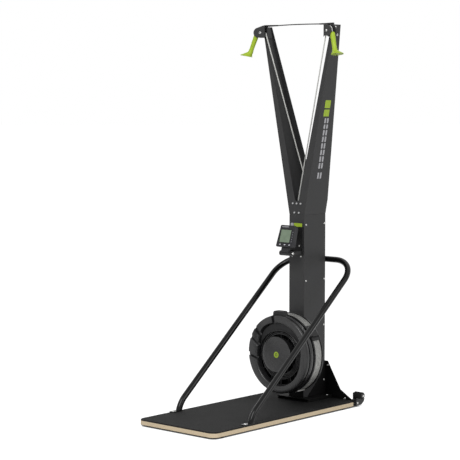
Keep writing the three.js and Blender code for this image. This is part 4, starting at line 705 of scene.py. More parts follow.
# Lighter than the shell so that the ribs read as streaks of light: painted highlight, besides their gloss.
RIB_ABS = MouldedPlastic("polished_abs_rib_painted_highlight", "3a3a3c", 0.14, sheen=1.0, second="444446", depth=0.004)
ARM_ABS = MouldedPlastic("moulded_abs_bracket", "0f0f10", 0.45, sheen=0.3, second="151516")
HANDLE_PP = MouldedPlastic(
    "moulded_polypropylene_handle", "a9c62e", 0.45, sheen=0.35, second="b6d03c", slot="lime_plastic",
    grain=1.2, depth=0.02)
TYRE_RUBBER = Rubber("moulded_rubber", "121212", 0.8, sheen=0.2, second="202020")
SCREEN_STEEL = PlatedSteel(
    "satin_perforated_steel", "a9a9a6", 0.42, 0.85, slot="grey_screen", stretch=(1.0, 1.0, 14.0))
ZINC_STEEL = PlatedSteel("zinc_plated_steel", "c4c4c2", 0.3, 1.0)
DULL_STEEL = PlatedSteel("black_zinc_plated_steel", "7c7c7e", 0.36, 1.0)
BIRCH = BirchPlywood("birch_plywood", "f6e4c6", 0.6, sheen=0.3, second="dcc298")
GRIT = GritSheet("gritted_rubber_sheet", "202020", 0.75, sheen=0.08, second="2a2a2a")
WHITE_BRAID = BraidedCord(
    "braided_polyester_cord", "f2f2ee", 0.75, sheen=0.3, second="d4d4d0", slot="white_cord")
DARK_BRAID = BraidedCord(
    "braided_elastic_cord", "4a4a4a", 0.8, sheen=0.3, second="1f1f1f", slot="dark_cord", strands=8, lay=6.0)
DISPLAY = DisplayGlass("reflective_display_cell", "6c8067", 0.35, second="7b8f75")
KEY_SILICONE = MouldedPlastic("moulded_silicone_key", "e8e8f0", 0.55, second="d8d8de", grain=0.5)
SIDE_KEY_SILICONE = MouldedPlastic("moulded_silicone_side_key", "74747c", 0.55, second="84848a", grain=0.5)
GREEN_FILM = PrintedFilm("printed_green_film", "abc92e", 0.45, second="b6d23c", slot="lime_plastic")
PALE_FILM = PrintedFilm("printed_pale_film", "b2b2b6", 0.45, second="c0c0c4")
BAR_FILM = PrintedFilm("printed_bar_film", "c6c6ca", 0.45, second="c0c0c4")
DIM_FILM = PrintedFilm("printed_dim_film", "828286", 0.45, second="c0c0c4")


# Pieces


def piece(name: str, shape: Shape, finish: Finish, body: str = "stand", replaces: Sequence[str] = (),
          edge: float = 0.0, crease: float = SMOOTH_BELOW, ride: bool = True) -> bpy.types.Object:
    """Makes a piece of the machine.

    Args:
        name: the piece's name.
        shape: its shape, in the row frame.
        finish: its finish.
        body: the CAD body that it rides on.
        replaces: the CAD nodes that it stands for.
        edge: the width of the rounding on sharp edges, in millimetres.
        crease: the angle in degrees above which an edge is sharp.
        ride: whether it rides on the body, or is left unattached.

    Returns:
        The piece.
    """
    mesh = bpy.data.meshes.new(name)
    mesh.from_pydata([c * MM for c in shape.corners], [], shape.faces)
    layer = mesh.uv_layers.new(name="UVMap")
    for entry, mark in zip(layer.data, (mark for face in shape.marks for mark in face)):
        entry.uv = mark
    work = bmesh.new()
    work.from_mesh(mesh)
    bmesh.ops.recalc_face_normals(work, faces=work.faces)
    work.to_mesh(mesh)
    work.free()
    mesh.materials.append(finish.material())
    made = bpy.data.objects.new(name, mesh)
    bpy.context.scene.collection.objects.link(made)
    smooth(made, edge, crease)
    if ride:
        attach(made, body)
    if replaces:
        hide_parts(*replaces)
    LOG.info("piece %s on %s: %d faces, %s", name, body, len(mesh.polygons), finish.label)
    return made


def smooth(made: bpy.types.Object, edge: float, crease: float) -> None:
    """Shades a piece smooth, with its sharp edges kept, or rounded where an edge width is given.

    Args:
        made: the piece.
        edge: the width of the rounding, in millimetres.
        crease: the angle in degrees above which an edge is sharp.
    """
    mesh = made.data
    mesh.polygons.foreach_set("use_smooth", [True] * len(mesh.polygons))
    if edge <= 0:
        mesh.set_sharp_from_angle(angle=math.radians(crease))
        return
    bevel = made.modifiers.new("rounded_edges", "BEVEL")
    bevel.width, bevel.segments, bevel.limit_method = edge * MM, 2, "ANGLE"
    bevel.angle_limit, bevel.harden_normals = math.radians(crease), True


def dress(node: str, finish: Finish, edge: float = 0.5, crease: float = SMOOTH_BELOW) -> None:
    """Gives a CAD node its finish and rounds its edges, with its own corners left alone.

    Args:
        node: the node's name.
        finish: its finish.
        edge: the width of the rounding, in millimetres.
        crease: the angle in degrees above which an edge is sharp.
    """
    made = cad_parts[node]
    mesh = made.data
    mesh.materials.clear()
    mesh.materials.append(finish.material())
    for name in ("custom_normal", "sharp_edge", "sharp_face"):
        kept = mesh.attributes.get(name)
        if kept is not None:
            mesh.attributes.remove(kept)
    weld = made.modifiers.new("one_skin", "WELD")
    weld.merge_threshold = 0.005 * MM
    flat = made.modifiers.new("flat_faces", "DECIMATE")
    flat.decimate_type, flat.angle_limit = "DISSOLVE", math.radians(0.3)
    smooth(made, edge, crease)
    LOG.info("node %s: %s", node, finish.label)


def dress_pair(stem: str, finish: Finish, edge: float) -> None:
    """Gives the right and the left node of a pair their finish."""
    for side in Side:
        dress(f"{stem}_{side.word}", finish, edge)


@dataclass
class Fastener:
    """A button-head screw with a hexagon socket, set by its underside and facing."""

    radius: float = 7.4
    height: float = 4.9
    steps: int = 24

    def shape(self, at: Sequence[float], facing: Sequence[float]) -> Shape:
        """The head at a place.

        Args:
            at: the middle of its underside.
            facing: the way that it stands out.

        Returns:
            The head's shape.
        """
        r, h = self.radius, self.height
        profile = [
            (0, 0.35 * h), (0.42 * r, 0.35 * h), (0.46 * r, 0.94 * h), (0.52 * r, h), (0.72 * r, 0.9 * h),
            (0.9 * r, 0.66 * h), (r, 0.3 * h), (r, 0), (0, 0)]
        return lathe(profile, self.steps, hexed=(1, 2)).placed(aimed(at, facing))

    def set_row(self, name: str, places: Sequence[tuple[Sequence[float], Sequence[float]]],
                finish: Finish = ZINC_STEEL, side: Side = Side.RIGHT) -> None:
        """Sets heads at several places of the stand as one piece.

        Args:
            name: the piece's name.
            places: each head's underside and facing.
            finish: their finish.
            side: the side that the row is for, where its places are those of the right.
        """
        piece(name, Shape().joined(*[self.shape(at, facing) for at, facing in places]).on(side), finish)


# The studio


@dataclass
class Studio:
    """A camera where the photograph was taken from, even soft light, and a white floor with a shadow."""

    place: Place = (5.7502, -6.6011, 1.7546)
    down: float = 85.25
    around: float = 41.95
    lens: float = 125.56
    sensor: float = 36.0
    daylight: float = 0.3
    key: tuple[Place, Place, float, float] = ((2.2, -6.5, 6.5), (0.0, 0.0, 0.9), 4.5, 400.0)
    fill: tuple[Place, Place, float, float] = ((7.5, 1.0, 4.0), (0.0, 0.0, 1.0), 4.0, 150.0)
    floor_rings: tuple[float, ...] = (0, 2000, 20000, 90000)
    floor_grey: float = 0.5
    floor_lift: float = 0.88
    floor_shade_reach: float = 200.0

    def build(self) -> None:
        """Sets up the camera, the world, the lamps and the floor."""
        self.camera()
        self.world()
        self.lamp("key", *self.key)
        self.lamp("fill", *self.fill)
        self.floor()

    def camera(self) -> None:
        """Places the camera by the fitted view."""
        data = bpy.data.cameras.new("camera")
        data.lens, data.sensor_width, data.sensor_fit = self.lens, self.sensor, "HORIZONTAL"
        data.clip_start, data.clip_end = 0.1, 200.0
        made = bpy.data.objects.new("camera", data)
        made.location = self.place
        made.rotation_euler = (math.radians(self.down), 0.0, math.radians(self.around))
        bpy.context.scene.collection.objects.link(made)
        bpy.context.scene.camera = made
        bpy.context.scene.view_settings.view_transform = "Standard"

    def seen(self, tree: Tree) -> Socket:
        """1 where the camera, a reflection or glass looks at the backdrop, and 0 for its light.

        Args:
            tree: the tree that the nodes go into.

        Returns:
            The value.
        """
        path = add_node(tree, "LightPath")
        looks = path.outputs["Is Camera Ray"]
        for kind in ("Is Glossy Ray", "Is Transmission Ray"):
            looks = add_node(
                tree, "Math", {0: looks, 1: path.outputs[kind]}, operation="MAXIMUM").outputs[0]
        return looks

    def world(self) -> None:
        """White to look at, and an even light of less than that."""
        made = bpy.data.worlds.new("studio")
        bpy.context.scene.world = made
        made.use_nodes = True
        tree = made.node_tree
        back = tree.nodes["Background"]
        back.inputs["Color"].default_value = (1.0, 1.0, 1.0, 1.0)
        level = add_node(tree, "MapRange", {"Value": self.seen(tree)}, To_Min=self.daylight, To_Max=1.0)
        tree.links.new(level.outputs["Result"], back.inputs["Strength"])

    def lamp(self, name: str, place: Place, target: Place, size: float, power: float) -> None:
        """Adds a square soft lamp.

        Args:
            name: the lamp's name.
            place: where it stands, in metres.
            target: what it points at.
            size: its side, in metres.
            power: its power, in watts.
        """
        data = bpy.data.lights.new(name, "AREA")
        data.energy, data.size = power, size
        made = bpy.data.objects.new(name, data)
        made.location = place
        made.rotation_euler = (Vector(target) - Vector(place)).to_track_quat("-Z", "Y").to_euler()
        bpy.context.scene.collection.objects.link(made)

    def floor(self) -> None:
        """A round white floor out to the horizon, lifted to white where nothing shades it."""
        disc = lathe([(radius, 0) for radius in self.floor_rings], 64)
        mesh = bpy.data.meshes.new("floor")
        mesh.from_pydata([c * MM for c in disc.corners], [], disc.faces)
        made = bpy.data.objects.new("floor", mesh)
        bpy.context.scene.collection.objects.link(made)
        paper = bpy.data.materials.new("white_floor_paper")
        paper.use_nodes = True
        tree = paper.node_tree
        tree.nodes.remove(tree.nodes["Principled BSDF"])
        matt = add_node(tree, "BsdfDiffuse", Color=(*[self.floor_grey] * 3, 1.0))
        open_floor = add_node(
            tree, "AmbientOcclusion", samples=8, Distance=self.floor_shade_reach * MM).outputs["AO"]
        lit = add_node(
            tree, "MapRange", {"Value": open_floor}, From_Min=0.05, From_Max=0.5, To_Max=self.floor_lift)
        lift = add_node(
            tree, "Math", {0: self.seen(tree), 1: lit.outputs["Result"]}, operation="MULTIPLY")
        glow = add_node(tree, "Emission", {"Strength": lift.outputs[0]})
        both = add_node(tree, "AddShader", {0: matt.outputs[0], 1: glow.outputs[0]})
        tree.links.new(both.outputs[0], tree.nodes["Material Output"].inputs["Surface"])
        mesh.materials.append(paper)


# The cords


@dataclass
class Cords:
    """Two drive cords over the top pulleys to the drums, their ends at the handles, and the return cord."""

    radius: float = 3.5
    top_axle: Place = (245.0, 336.9, 2116.0)
    toe: float = 15.0
    top_circle: float = 24.3
    idler_circle: float = 16.8
    drum_circle: float = 29.8
    idler_z: float = 1155.0
    shaft_z: float = 315.0
    lanes: dict[Side, float] = field(default_factory=lambda: {Side.RIGHT: 390.0, Side.LEFT: 470.0})
    handle_lean: Place = (30.0, -16.0, -94.0)
    handle_cord: float = 17.0
    handle_gap: float = 0.3
    longest_step: float = 20.0
    return_radius: float = 3.0
    return_y: float = 370.1
    return_z: float = 2155.0
    return_reach: float = 149.7
    return_arch: float = 2.0
    sleeve_root_x: float = 229.7
    sleeve_tip_x: float = 150.0
    sleeve_bore: float = 3.1
    sleeve_tip: Pair = (3.5, 3.8)
    sleeve_growth: float = 1.2
    sleeve_rib: float = 0.25
    steps: int = 24
    crease: float = 60.0

    def build(self) -> None:
        """Makes every cord and sleeve."""
        for side in Side:
            self.drive_cord(side)
            self.free_end(side)
            self.sleeve(side)
        self.return_cord()

    def at_top(self, point: Vector) -> Vector:
        """A point of the top pulley, turned by its toe and put in its place."""
        return Matrix.Rotation(-math.radians(self.toe), 4, "Z") @ point + Vector(self.top_axle)

    def arc(self, circle: float, start: float, end: float, steps: int = 20) -> list[Vector]:
        """Points on a circle in x and z.

        Args:
            circle: its radius.
            start: the first angle, in radians.
            end: the last angle.
            steps: the number of steps.

        Returns:
            The points.
        """
        angles = [start + (end - start) * i / steps for i in range(steps + 1)]
        return [Vector((circle * math.cos(a), 0, circle * math.sin(a))) for a in angles]

    def leaving_angle(self) -> float:
        """How far round its top pulley the right cord leaves it toward the handle, in radians."""
        return math.atan(self.handle_lean[0] / -self.handle_lean[2])

    def leaving(self) -> Vector:
        """Where the right cord leaves its top pulley toward the handle."""
        return self.at_top(self.arc(self.top_circle, self.leaving_angle(), math.pi)[0])

    def drive_cord(self, side: Side) -> None:
        """One drive cord, from the handle's end over the top pulley and past the idler to the drum.

        Args:
            side: the handle's side.
        """
        lane = self.lanes[side]
        x, z = self.top_axle[0], self.top_axle[2] - self.idler_z
        skew = math.asin((self.top_circle - self.idler_circle) / math.hypot(x, z))
        tangent = math.pi - math.atan2(x, z) + skew
        axis = Vector(self.handle_lean).normalized()
        over = [self.at_top(p) for p in self.arc(self.top_circle, self.leaving_angle(), tangent)]
        idler = Vector((0, lane, self.idler_z))
        past = [p + idler for p in self.arc(self.idler_circle, tangent, math.pi)]
        end = Vector((-self.drum_circle, lane, self.shaft_z))
        route = [over[0] + axis * self.radius, *over, *past, end]
        path = [route[0]]
        for before, here in zip(route, route[1:]):
            count = max(1, round((here - before).length / self.longest_step))
            path += [before.lerp(here, (i + 1) / count) for i in range(count)]
        made = piece(
            f"drive_cord_line_{side.word}", sweep(path, self.radius).on(side), WHITE_BRAID, "stand",
            [f"drive_cord_{side.word}"], crease=self.crease)

    def free_end(self, side: Side) -> None:
        """The short free cord between the top pulley and the handle.

        Args:
            side: the handle's side.
        """
        axis = Vector(self.handle_lean).normalized()
        start = self.leaving() + axis * (self.radius + self.handle_gap)
        end = self.leaving() + axis * (self.handle_cord - self.handle_gap)
        path = [start.lerp(end, i / self.steps) for i in range(self.steps + 1)]
        made = piece(
            f"handle_cord_line_{side.word}", sweep(path, self.radius).on(side), WHITE_BRAID, "stand",
            [f"handle_cord_{side.word}"], crease=self.crease, ride=False)
        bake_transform(made)

    def sleeve(self, side: Side) -> None:
        """The tapered rubber sleeve that the return cord comes out of, ribbed toward its root.

        Args:
            side: the arm's side.
        """
        tip, root, bore = self.sleeve_tip_x, self.sleeve_root_x, self.sleeve_bore
        mouth, start = self.sleeve_tip
        profile = [(bore, tip + 1), (bore, tip), (mouth, tip)]
        for i in range(self.steps + 1):
            share = i / self.steps
            rib = self.sleeve_rib if i % 3 == 1 and share > 0.45 else 0.0
            profile.append((start + self.sleeve_growth * share + rib, tip + 0.8 + (root - tip - 0.8) * share))
        profile += [(bore, root), (bore, tip + 1)]
        turned = lathe(profile, 20).placed(aimed((0, self.return_y, self.return_z), OUTWARD))
        piece(
            f"cord_sleeve_sheath_{side.word}", turned.on(side), TYRE_RUBBER, "stand",
            [f"cord_sleeve_{side.word}"])

    def return_cord(self) -> None:
        """The elastic cord across the top, a little higher in its middle."""
        path = []
        for i in range(-16, 17):
            share = i / 16
            rise = self.return_arch * (1 - share * share)
            path.append(Vector((self.return_reach * share, self.return_y, self.return_z + rise)))
        made = piece(
            "return_cord_line", sweep(path, self.return_radius), DARK_BRAID, "stand", ["return_cord"],
            crease=self.crease)


@dataclass
class Handles:
    """Two waisted grips that flare into a level disc, each on its own cord."""

    length: float = 131.0
    top_radius: float = 14.0
    waist: Pair = (90.0, 12.6)
    neck: Pair = (108.0, 14.6)
    disc_radius: float = 35.0
    disc_thickness: float = 4.0
    disc_set_out: Place = (17.0, -6.0, 0.0)
    disc_facing: Place = (15.0, -10.0, -100.0)
    flare: tuple[Place, ...] = ((0.35, 0.45, 0.22), (0.75, 0.75, 0.62))
    cord_hole: Pair = (3.7, 4.2)
    hole_depth: float = 1.2
    groove: float = 0.25
    steps: int = 40

    def build(self, cords: Cords) -> None:
        """Makes both handles.

        Args:
            cords: the cords that they hang on.
        """
        for side in Side:
            piece(
                f"handle_grip_{side.word}", self.shape(cords).on(side), HANDLE_PP, f"handle_{side.word}",
                [f"handle_{side.word}"], crease=55)

    def shape(self, cords: Cords) -> Shape:
        """The right handle.

        Args:
            cords: the cords that it hangs on.

        Returns:
            Its shape.
        """
        axis = Vector(cords.handle_lean).normalized()
        top = cords.leaving() + axis * cords.handle_cord
        bore, mouth = self.cord_hole
        rings: list[tuple[Vector, Vector, float]] = [
            (top + axis * self.hole_depth, axis, bore), (top, axis, mouth)]
        low = mouth / self.top_radius
        for i in range(1, 11):
            angle = i / 10 * math.pi / 2
            reach = low + (1 - low) * math.sin(angle)
            down = self.top_radius * (1 - math.cos(angle))
            rings.append((top + axis * down, axis, self.top_radius * reach))
        for i in range(1, 13):
            share = i / 12
            radius = self.top_radius + (self.waist[1] - self.top_radius) * share * share * (3 - 2 * share)
            along = self.top_radius + (self.waist[0] - self.top_radius) * share
            rings.append((top + axis * along, axis, radius - (self.groove if i % 2 else 0.0)))
        middle = top + axis * self.neck[0]
        rings.append((middle, axis, self.neck[1]))
        facing = Vector(self.disc_facing).normalized()
        under = top + axis * self.length + Vector(self.disc_set_out)
        over = under - facing * self.disc_thickness
        for place, turn, growth in self.flare:
            radius = self.neck[1] + growth * (self.disc_radius - self.neck[1])
            rings.append((middle.lerp(over, place), axis.lerp(facing, turn).normalized(), radius))
        rim = self.disc_radius
        rings += [
            (over, facing, rim - 1.4), (over + facing * 0.6, facing, rim - 0.4),
            (over + facing * 2, facing, rim), (under - facing * 0.8, facing, rim - 0.3),
            (under, facing, rim - 1.4),
            (under - facing * 0.9, facing, rim - 4), (under - facing * 1.2, facing, rim - 14)]
        return ring_stack(rings, self.steps)


# The stand


@dataclass
class Platform:
    """The plywood board under its grip sheet, on its pads, with the tray and the bracing behind."""

    bolt: Fastener = field(default_factory=lambda: Fastener(6.5, 3.6))
    panel_y: Pair = (551.2, 556.3)
    panel_bolts: tuple[Pair, ...] = ((75, 220), (71, 46), (201, 42))
    gusset_bolt: Place = (57.3, 540.0, 136.0)
    tray_bolt: Place = (96.8, 518.4, 54.0)

    def build(self) -> None:
        """Dresses the platform and adds its bolts."""
        dress("platform_board", BIRCH, 0.8)
        dress("platform_grip", GRIT, 0.8)
        dress_pair("pad_strip", TYRE_RUBBER, 0.4)
        dress("base_tray", PANEL_COAT, 1.0)
        for node in ("rear_crossbar", "rear_panel"):
            dress(node, PANEL_COAT, 0.8)
        for name, y, facing in (("front", self.panel_y[0], FORWARD), ("rear", self.panel_y[1], BACKWARD)):
            places = [(x, y, z) for x, z in self.panel_bolts]
            self.bolt.set_row(f"panel_bolts_{name}", both_sides(places, facing))
        self.bolt.set_row("gusset_bolts", both_sides([self.gusset_bolt]))
        self.bolt.set_row("tray_bolts", both_sides([self.tray_bolt], UPWARD))


@dataclass
class TransportWheels:
    """Two rubber-tyred rollers on stub axles in their brackets."""

    centre: Pair = (590.0, 63.0)
    inner_x: float = 244.0
    outer_x: float = 300.0
    radius: float = 20.0
    shoulder: float = 3.0
    grooves: tuple[float, ...] = (-14, 0, 14)
    groove_depth: float = 1.2
    axle_end_x: float = 303.2
    bracket_bolt: Place = (278.6, 569.3, 22.6)

    def build(self) -> None:
        """Dresses the brackets and makes the wheels."""
        dress_pair("wheel_bracket", FRAME_COAT, 0.6)
        tyre, hub = self.shapes()
        for side in Side:
            word, body = side.word, f"wheel_{side.word}"
            piece(f"wheel_tyre_{word}", tyre.on(side), TYRE_RUBBER, body, [f"transport_wheel_{word}"])
            piece(f"wheel_hub_{word}", hub.on(side), SHELL_ABS, body)
            for name, head, at in (
                    ("axle_end", Fastener(6.0, 2.6), (self.axle_end_x, *self.centre)),
                    ("wheel_bracket_bolt", Fastener(6.5, 3.6), self.bracket_bolt)):
                head.set_row(f"{name}_{word}", [(at, OUTWARD)], side=side)

    def shapes(self) -> tuple[Shape, Shape]:
        """The right wheel's tyre and hub.

        Returns:
            The two shapes.
        """
        a, b, r, round_off = self.inner_x, self.outer_x, self.radius, self.shoulder
        turns = [t * math.pi / 12 for t in range(7)]
        tyre = [(13.0, a + 1.5), (r - round_off, a + 0.6)]
        tyre += [(r - round_off * (1 - math.sin(t)), a + 3.6 - round_off * math.cos(t)) for t in turns]
        for offset in self.grooves:
            groove, sunk = (a + b) / 2 + offset, r - self.groove_depth
            tyre += [(r, groove - 1.6), (sunk, groove - 0.9), (sunk, groove + 0.9), (r, groove + 1.6)]
        tyre += [(r - round_off * (1 - math.cos(t)), b - 3.6 + round_off * math.sin(t)) for t in turns]
        tyre += [(13.0, b - 1.5)]
        hub = [(5.5, a), (11, a), (13, a + 1.4), (13, b - 1.4), (11, b), (5.5, b)]
        turn = aimed((0, *self.centre), OUTWARD)
        return lathe(tyre, 40, closed=True).placed(turn), lathe(hub, 32, closed=True).placed(turn)


@dataclass
class Column:
    """The folded column with its rear cover, screws, a dark sheet over its foot, and a two-colour band across
    its front.
    """

    half_width: float = 54.0
    front_y: float = 360.0
    side_screws: tuple[Pair, ...] = ((377, 1036), (541, 1036), (377, 718), (541, 718), (541, 454))
    cover_screws: tuple[Place, ...] = (
        (38, 553.3, 290), (38, 553.3, 560), (38, 553.3, 930), (38, 553.3, 1120))
    band_z: Pair = (1024.0, 1044.0)
    pale_x: Pair = (-45.0, -23.0)
    green_x: Pair = (-20.0, 39.0)
    # a near-black sheet on the column's front, below the housing
    dark_foot_sheet: Four = (-52.0, 52.0, 54.6, 110.0)
    foot_sheet: float = 0.8

    def build(self) -> None:
        """Dresses the column and adds its screws, foot cover and band."""
        dress("column", FRAME_COAT, 1.2)
        dress("rear_cover", PANEL_COAT, 0.5)
        screws = both_sides([(self.half_width, y, z) for y, z in self.side_screws])
        Fastener(5.5, 3.0).set_row("column_side_screws", screws)
        Fastener(4.5, 2.4).set_row("cover_screws", both_sides(self.cover_screws, BACKWARD))
        for name, outline, radius, thick, finish, edge in (
                ("dark_foot_sheet", self.dark_foot_sheet, 4, self.foot_sheet, PANEL_COAT, 0.3),
                ("band_pale", (*self.pale_x, *self.band_z), 3, FILM, PALE_FILM, 0.0),
                ("band_green", (*self.green_x, *self.band_z), 3, FILM, GREEN_FILM, 0.0)):
            sheet = prism(rounded(box_outline(*outline), radius), -thick, SUNK)
            piece(f"column_{name}", sheet.placed(turned_back((0, self.front_y, 0))), finish, edge=edge)


@dataclass
class Arms:
    """Two folded arms with a leaning outer web, their joint plate and bolts, and stripes on the right."""

    low_z: float = 1092.0
    height: float = 1058.0
    low_half: float = 54.0
    top_half: float = 255.0
    green_patches: tuple[Four, ...] = (
        (395.0, 443.0, 1691.0, 1735.0), (395.0, 443.0, 1645.0, 1683.0))
    bars_z: tuple[Pair, ...] = (
        (1295, 1330), (1352, 1384), (1391, 1421), (1428, 1458), (1465, 1495), (1502, 1532), (1539, 1569),
        (1576, 1600), (1607, 1635))
    bar_middles: Pair = (442.0, 429.0)
    bar_half: float = 18.0
    bar_slot: float = 5.0
    joint_bolts: tuple[Pair, ...] = ((-16, 1103), (16, 1103), (-28, 1155), (28, 1155), (0, 1155))
    joint_y: float = 359.8
    tongue_bolts: tuple[Pair, ...] = ((407, 2094), (382, 2136))

    def build(self) -> None:
        """Dresses the arms and adds what is on them."""
        dress_pair("arm", FRAME_COAT, 0.9)
        dress("joint_plate", ZINC_STEEL, 0.4)
        dress("idler_bolt", ZINC_STEEL, 0.3)
        dress_pair("idler", FAN_NYLON, 0.4)
        for number, patch in enumerate(self.green_patches, 1):
            self.film_on_arm(f"arm_patch_{number}", *patch, GREEN_FILM)
        first, last = self.bars_z[0][0], self.bars_z[-1][1]
        for number, (low, high) in enumerate(self.bars_z, 1):
            share = ((low + high) / 2 - first) / (last - first)
            middle = self.bar_middles[0] + share * (self.bar_middles[1] - self.bar_middles[0])
            near, far = self.bar_slot, self.bar_half
            for name, a, b in (("front", middle - far, middle - near), ("rear", middle + near, middle + far)):
                self.film_on_arm(f"arm_bar_{number}_{name}", a, b, low, high, BAR_FILM)
        bolts = Fastener()
        joint = [((x, self.joint_y, z), FORWARD) for x, z in self.joint_bolts]
        bolts.set_row("joint_bolt_heads", joint, DULL_STEEL)
        out = (math.cos(self.lean()), 0, -math.sin(self.lean()))
        tongue = [((self.web_x(z), y, z), out) for y, z in self.tongue_bolts]
        for side in Side:
            bolts.set_row(f"tongue_bolt_heads_{side.word}", tongue, side=side)

    def lean(self) -> float:
        """The web's lean from upright, in radians."""
        return math.atan((self.top_half - self.low_half) / self.height)

    def web_x(self, z: float) -> float:
        """The web's outer face at a height."""
        return self.low_half + (z - self.low_z) / self.height * (self.top_half - self.low_half)

    def film_on_arm(self, name: str, y0: float, y1: float, z0: float, z1: float, finish: Finish) -> None:
        """A printed film on the right arm's outer face.

        Args:
            name: the piece's name.
            y0: its front edge.
            y1: its rear edge.
            z0: its lower edge.
            z1: its upper edge.
            finish: its finish.
        """
        outline = rounded(box_outline(y0, y1, 0, (z1 - z0) / math.cos(self.lean())), 3)
        stand_up = Matrix(((0, 0, 1, 0), (1, 0, 0, 0), (0, 1, 0, 0), (0, 0, 0, 1)))
        place = Matrix.Translation(Vector((self.web_x(z0), 0, z0))) @ Matrix.Rotation(self.lean(), 4, "Y")
        piece(name, prism(outline, -SUNK, FILM).placed(place @ stand_up), finish)


@dataclass
class TopBrackets:
    """The toed plates round each top pulley."""

    axle: Place = (245.0, 336.9, 2116.0)
    toe: float = 15.0
    plate_front: float = 18.9
    plate_back: float = 15.8

    def build(self) -> None:
        """Dresses the brackets and pulleys and adds the axle ends."""
        dress_pair("top_bracket", FRAME_COAT, 0.7)
        dress_pair("top_pulley", FAN_NYLON, 0.4)
        toe, axle = math.radians(self.toe), Vector(self.axle)
        ahead = Vector((-math.sin(toe), -math.cos(toe), 0))
        head = Fastener().shape(axle + ahead * self.plate_front, ahead)
        nut = Fastener(6.5, 5.0).shape(axle - ahead * self.plate_back, -ahead)
        for side in Side:
            piece(f"pulley_axle_ends_{side.word}", head.joined(nut).on(side), ZINC_STEEL)


@dataclass
class Braces:
    """Two bent tubes from the saddle behind the column down to the platform's edges."""

    radius: float = 17.0
    half_span: float = 262.0
    start_x: float = 0.2
    y: float = 575.9
    join_z: float = 828.0
    bend: float = 150.0
    foot_y: float = -338.1
    deck_z: float = 38.0
    foot_rise: float = 30.0
    plate: Four = (16.0, 56.0, 22.0, 5.0)
    bolt_forward: float = 38.0

    def build(self) -> None:
        """Makes the tubes, feet and bolts and dresses the saddle."""
        tube, foot = sweep(self.path(), self.radius, 32), self.foot()
        bolt = (self.half_span, self.foot_y - self.bolt_forward, self.deck_z + self.plate[3])
        for side in Side:
            name = f"brace_{side.word}"
            piece(f"brace_tube_{side.word}", tube.on(side), TUBE_COAT, replaces=[name], crease=50)
            piece(f"brace_foot_{side.word}", foot.on(side), TUBE_COAT, edge=0.8)
            Fastener(7.4, 4.8).set_row(f"brace_bolt_{side.word}", [(bolt, UPWARD)], side=side)
        dress("brace_saddle", PANEL_COAT, 1.0)

    def path(self) -> list[Vector]:
        """The right tube's middle line, from the saddle over both bends into the foot plate.

        Returns:
            The points of the line.
        """
        x, low = self.half_span, self.deck_z + self.plate[3] / 2
        start, corner = Vector((self.start_x, self.y, self.join_z)), Vector((x, self.y, self.join_z))
        ankle, end = Vector((x, self.foot_y, self.deck_z + self.foot_rise)), Vector((x, self.foot_y, low))
        path = [start, *fillet(start, corner, ankle, self.bend, 20)]
        path += [point for point in fillet(corner, ankle, end, self.bend, 24) if point.z > end.z + 1]
        return [*path, Vector((x, path[-1].y, end.z))]

    def foot(self) -> Shape:
        """The right foot plate, with its corners rounded.

        Returns:
            Its shape.
        """
        half, ahead, behind, thick = self.plate
        outline = rounded(box_outline(
            self.half_span - half, self.half_span + half, self.foot_y - ahead, self.foot_y + behind), 8)
        return prism(outline, self.deck_z, self.deck_z + thick)


# The fan


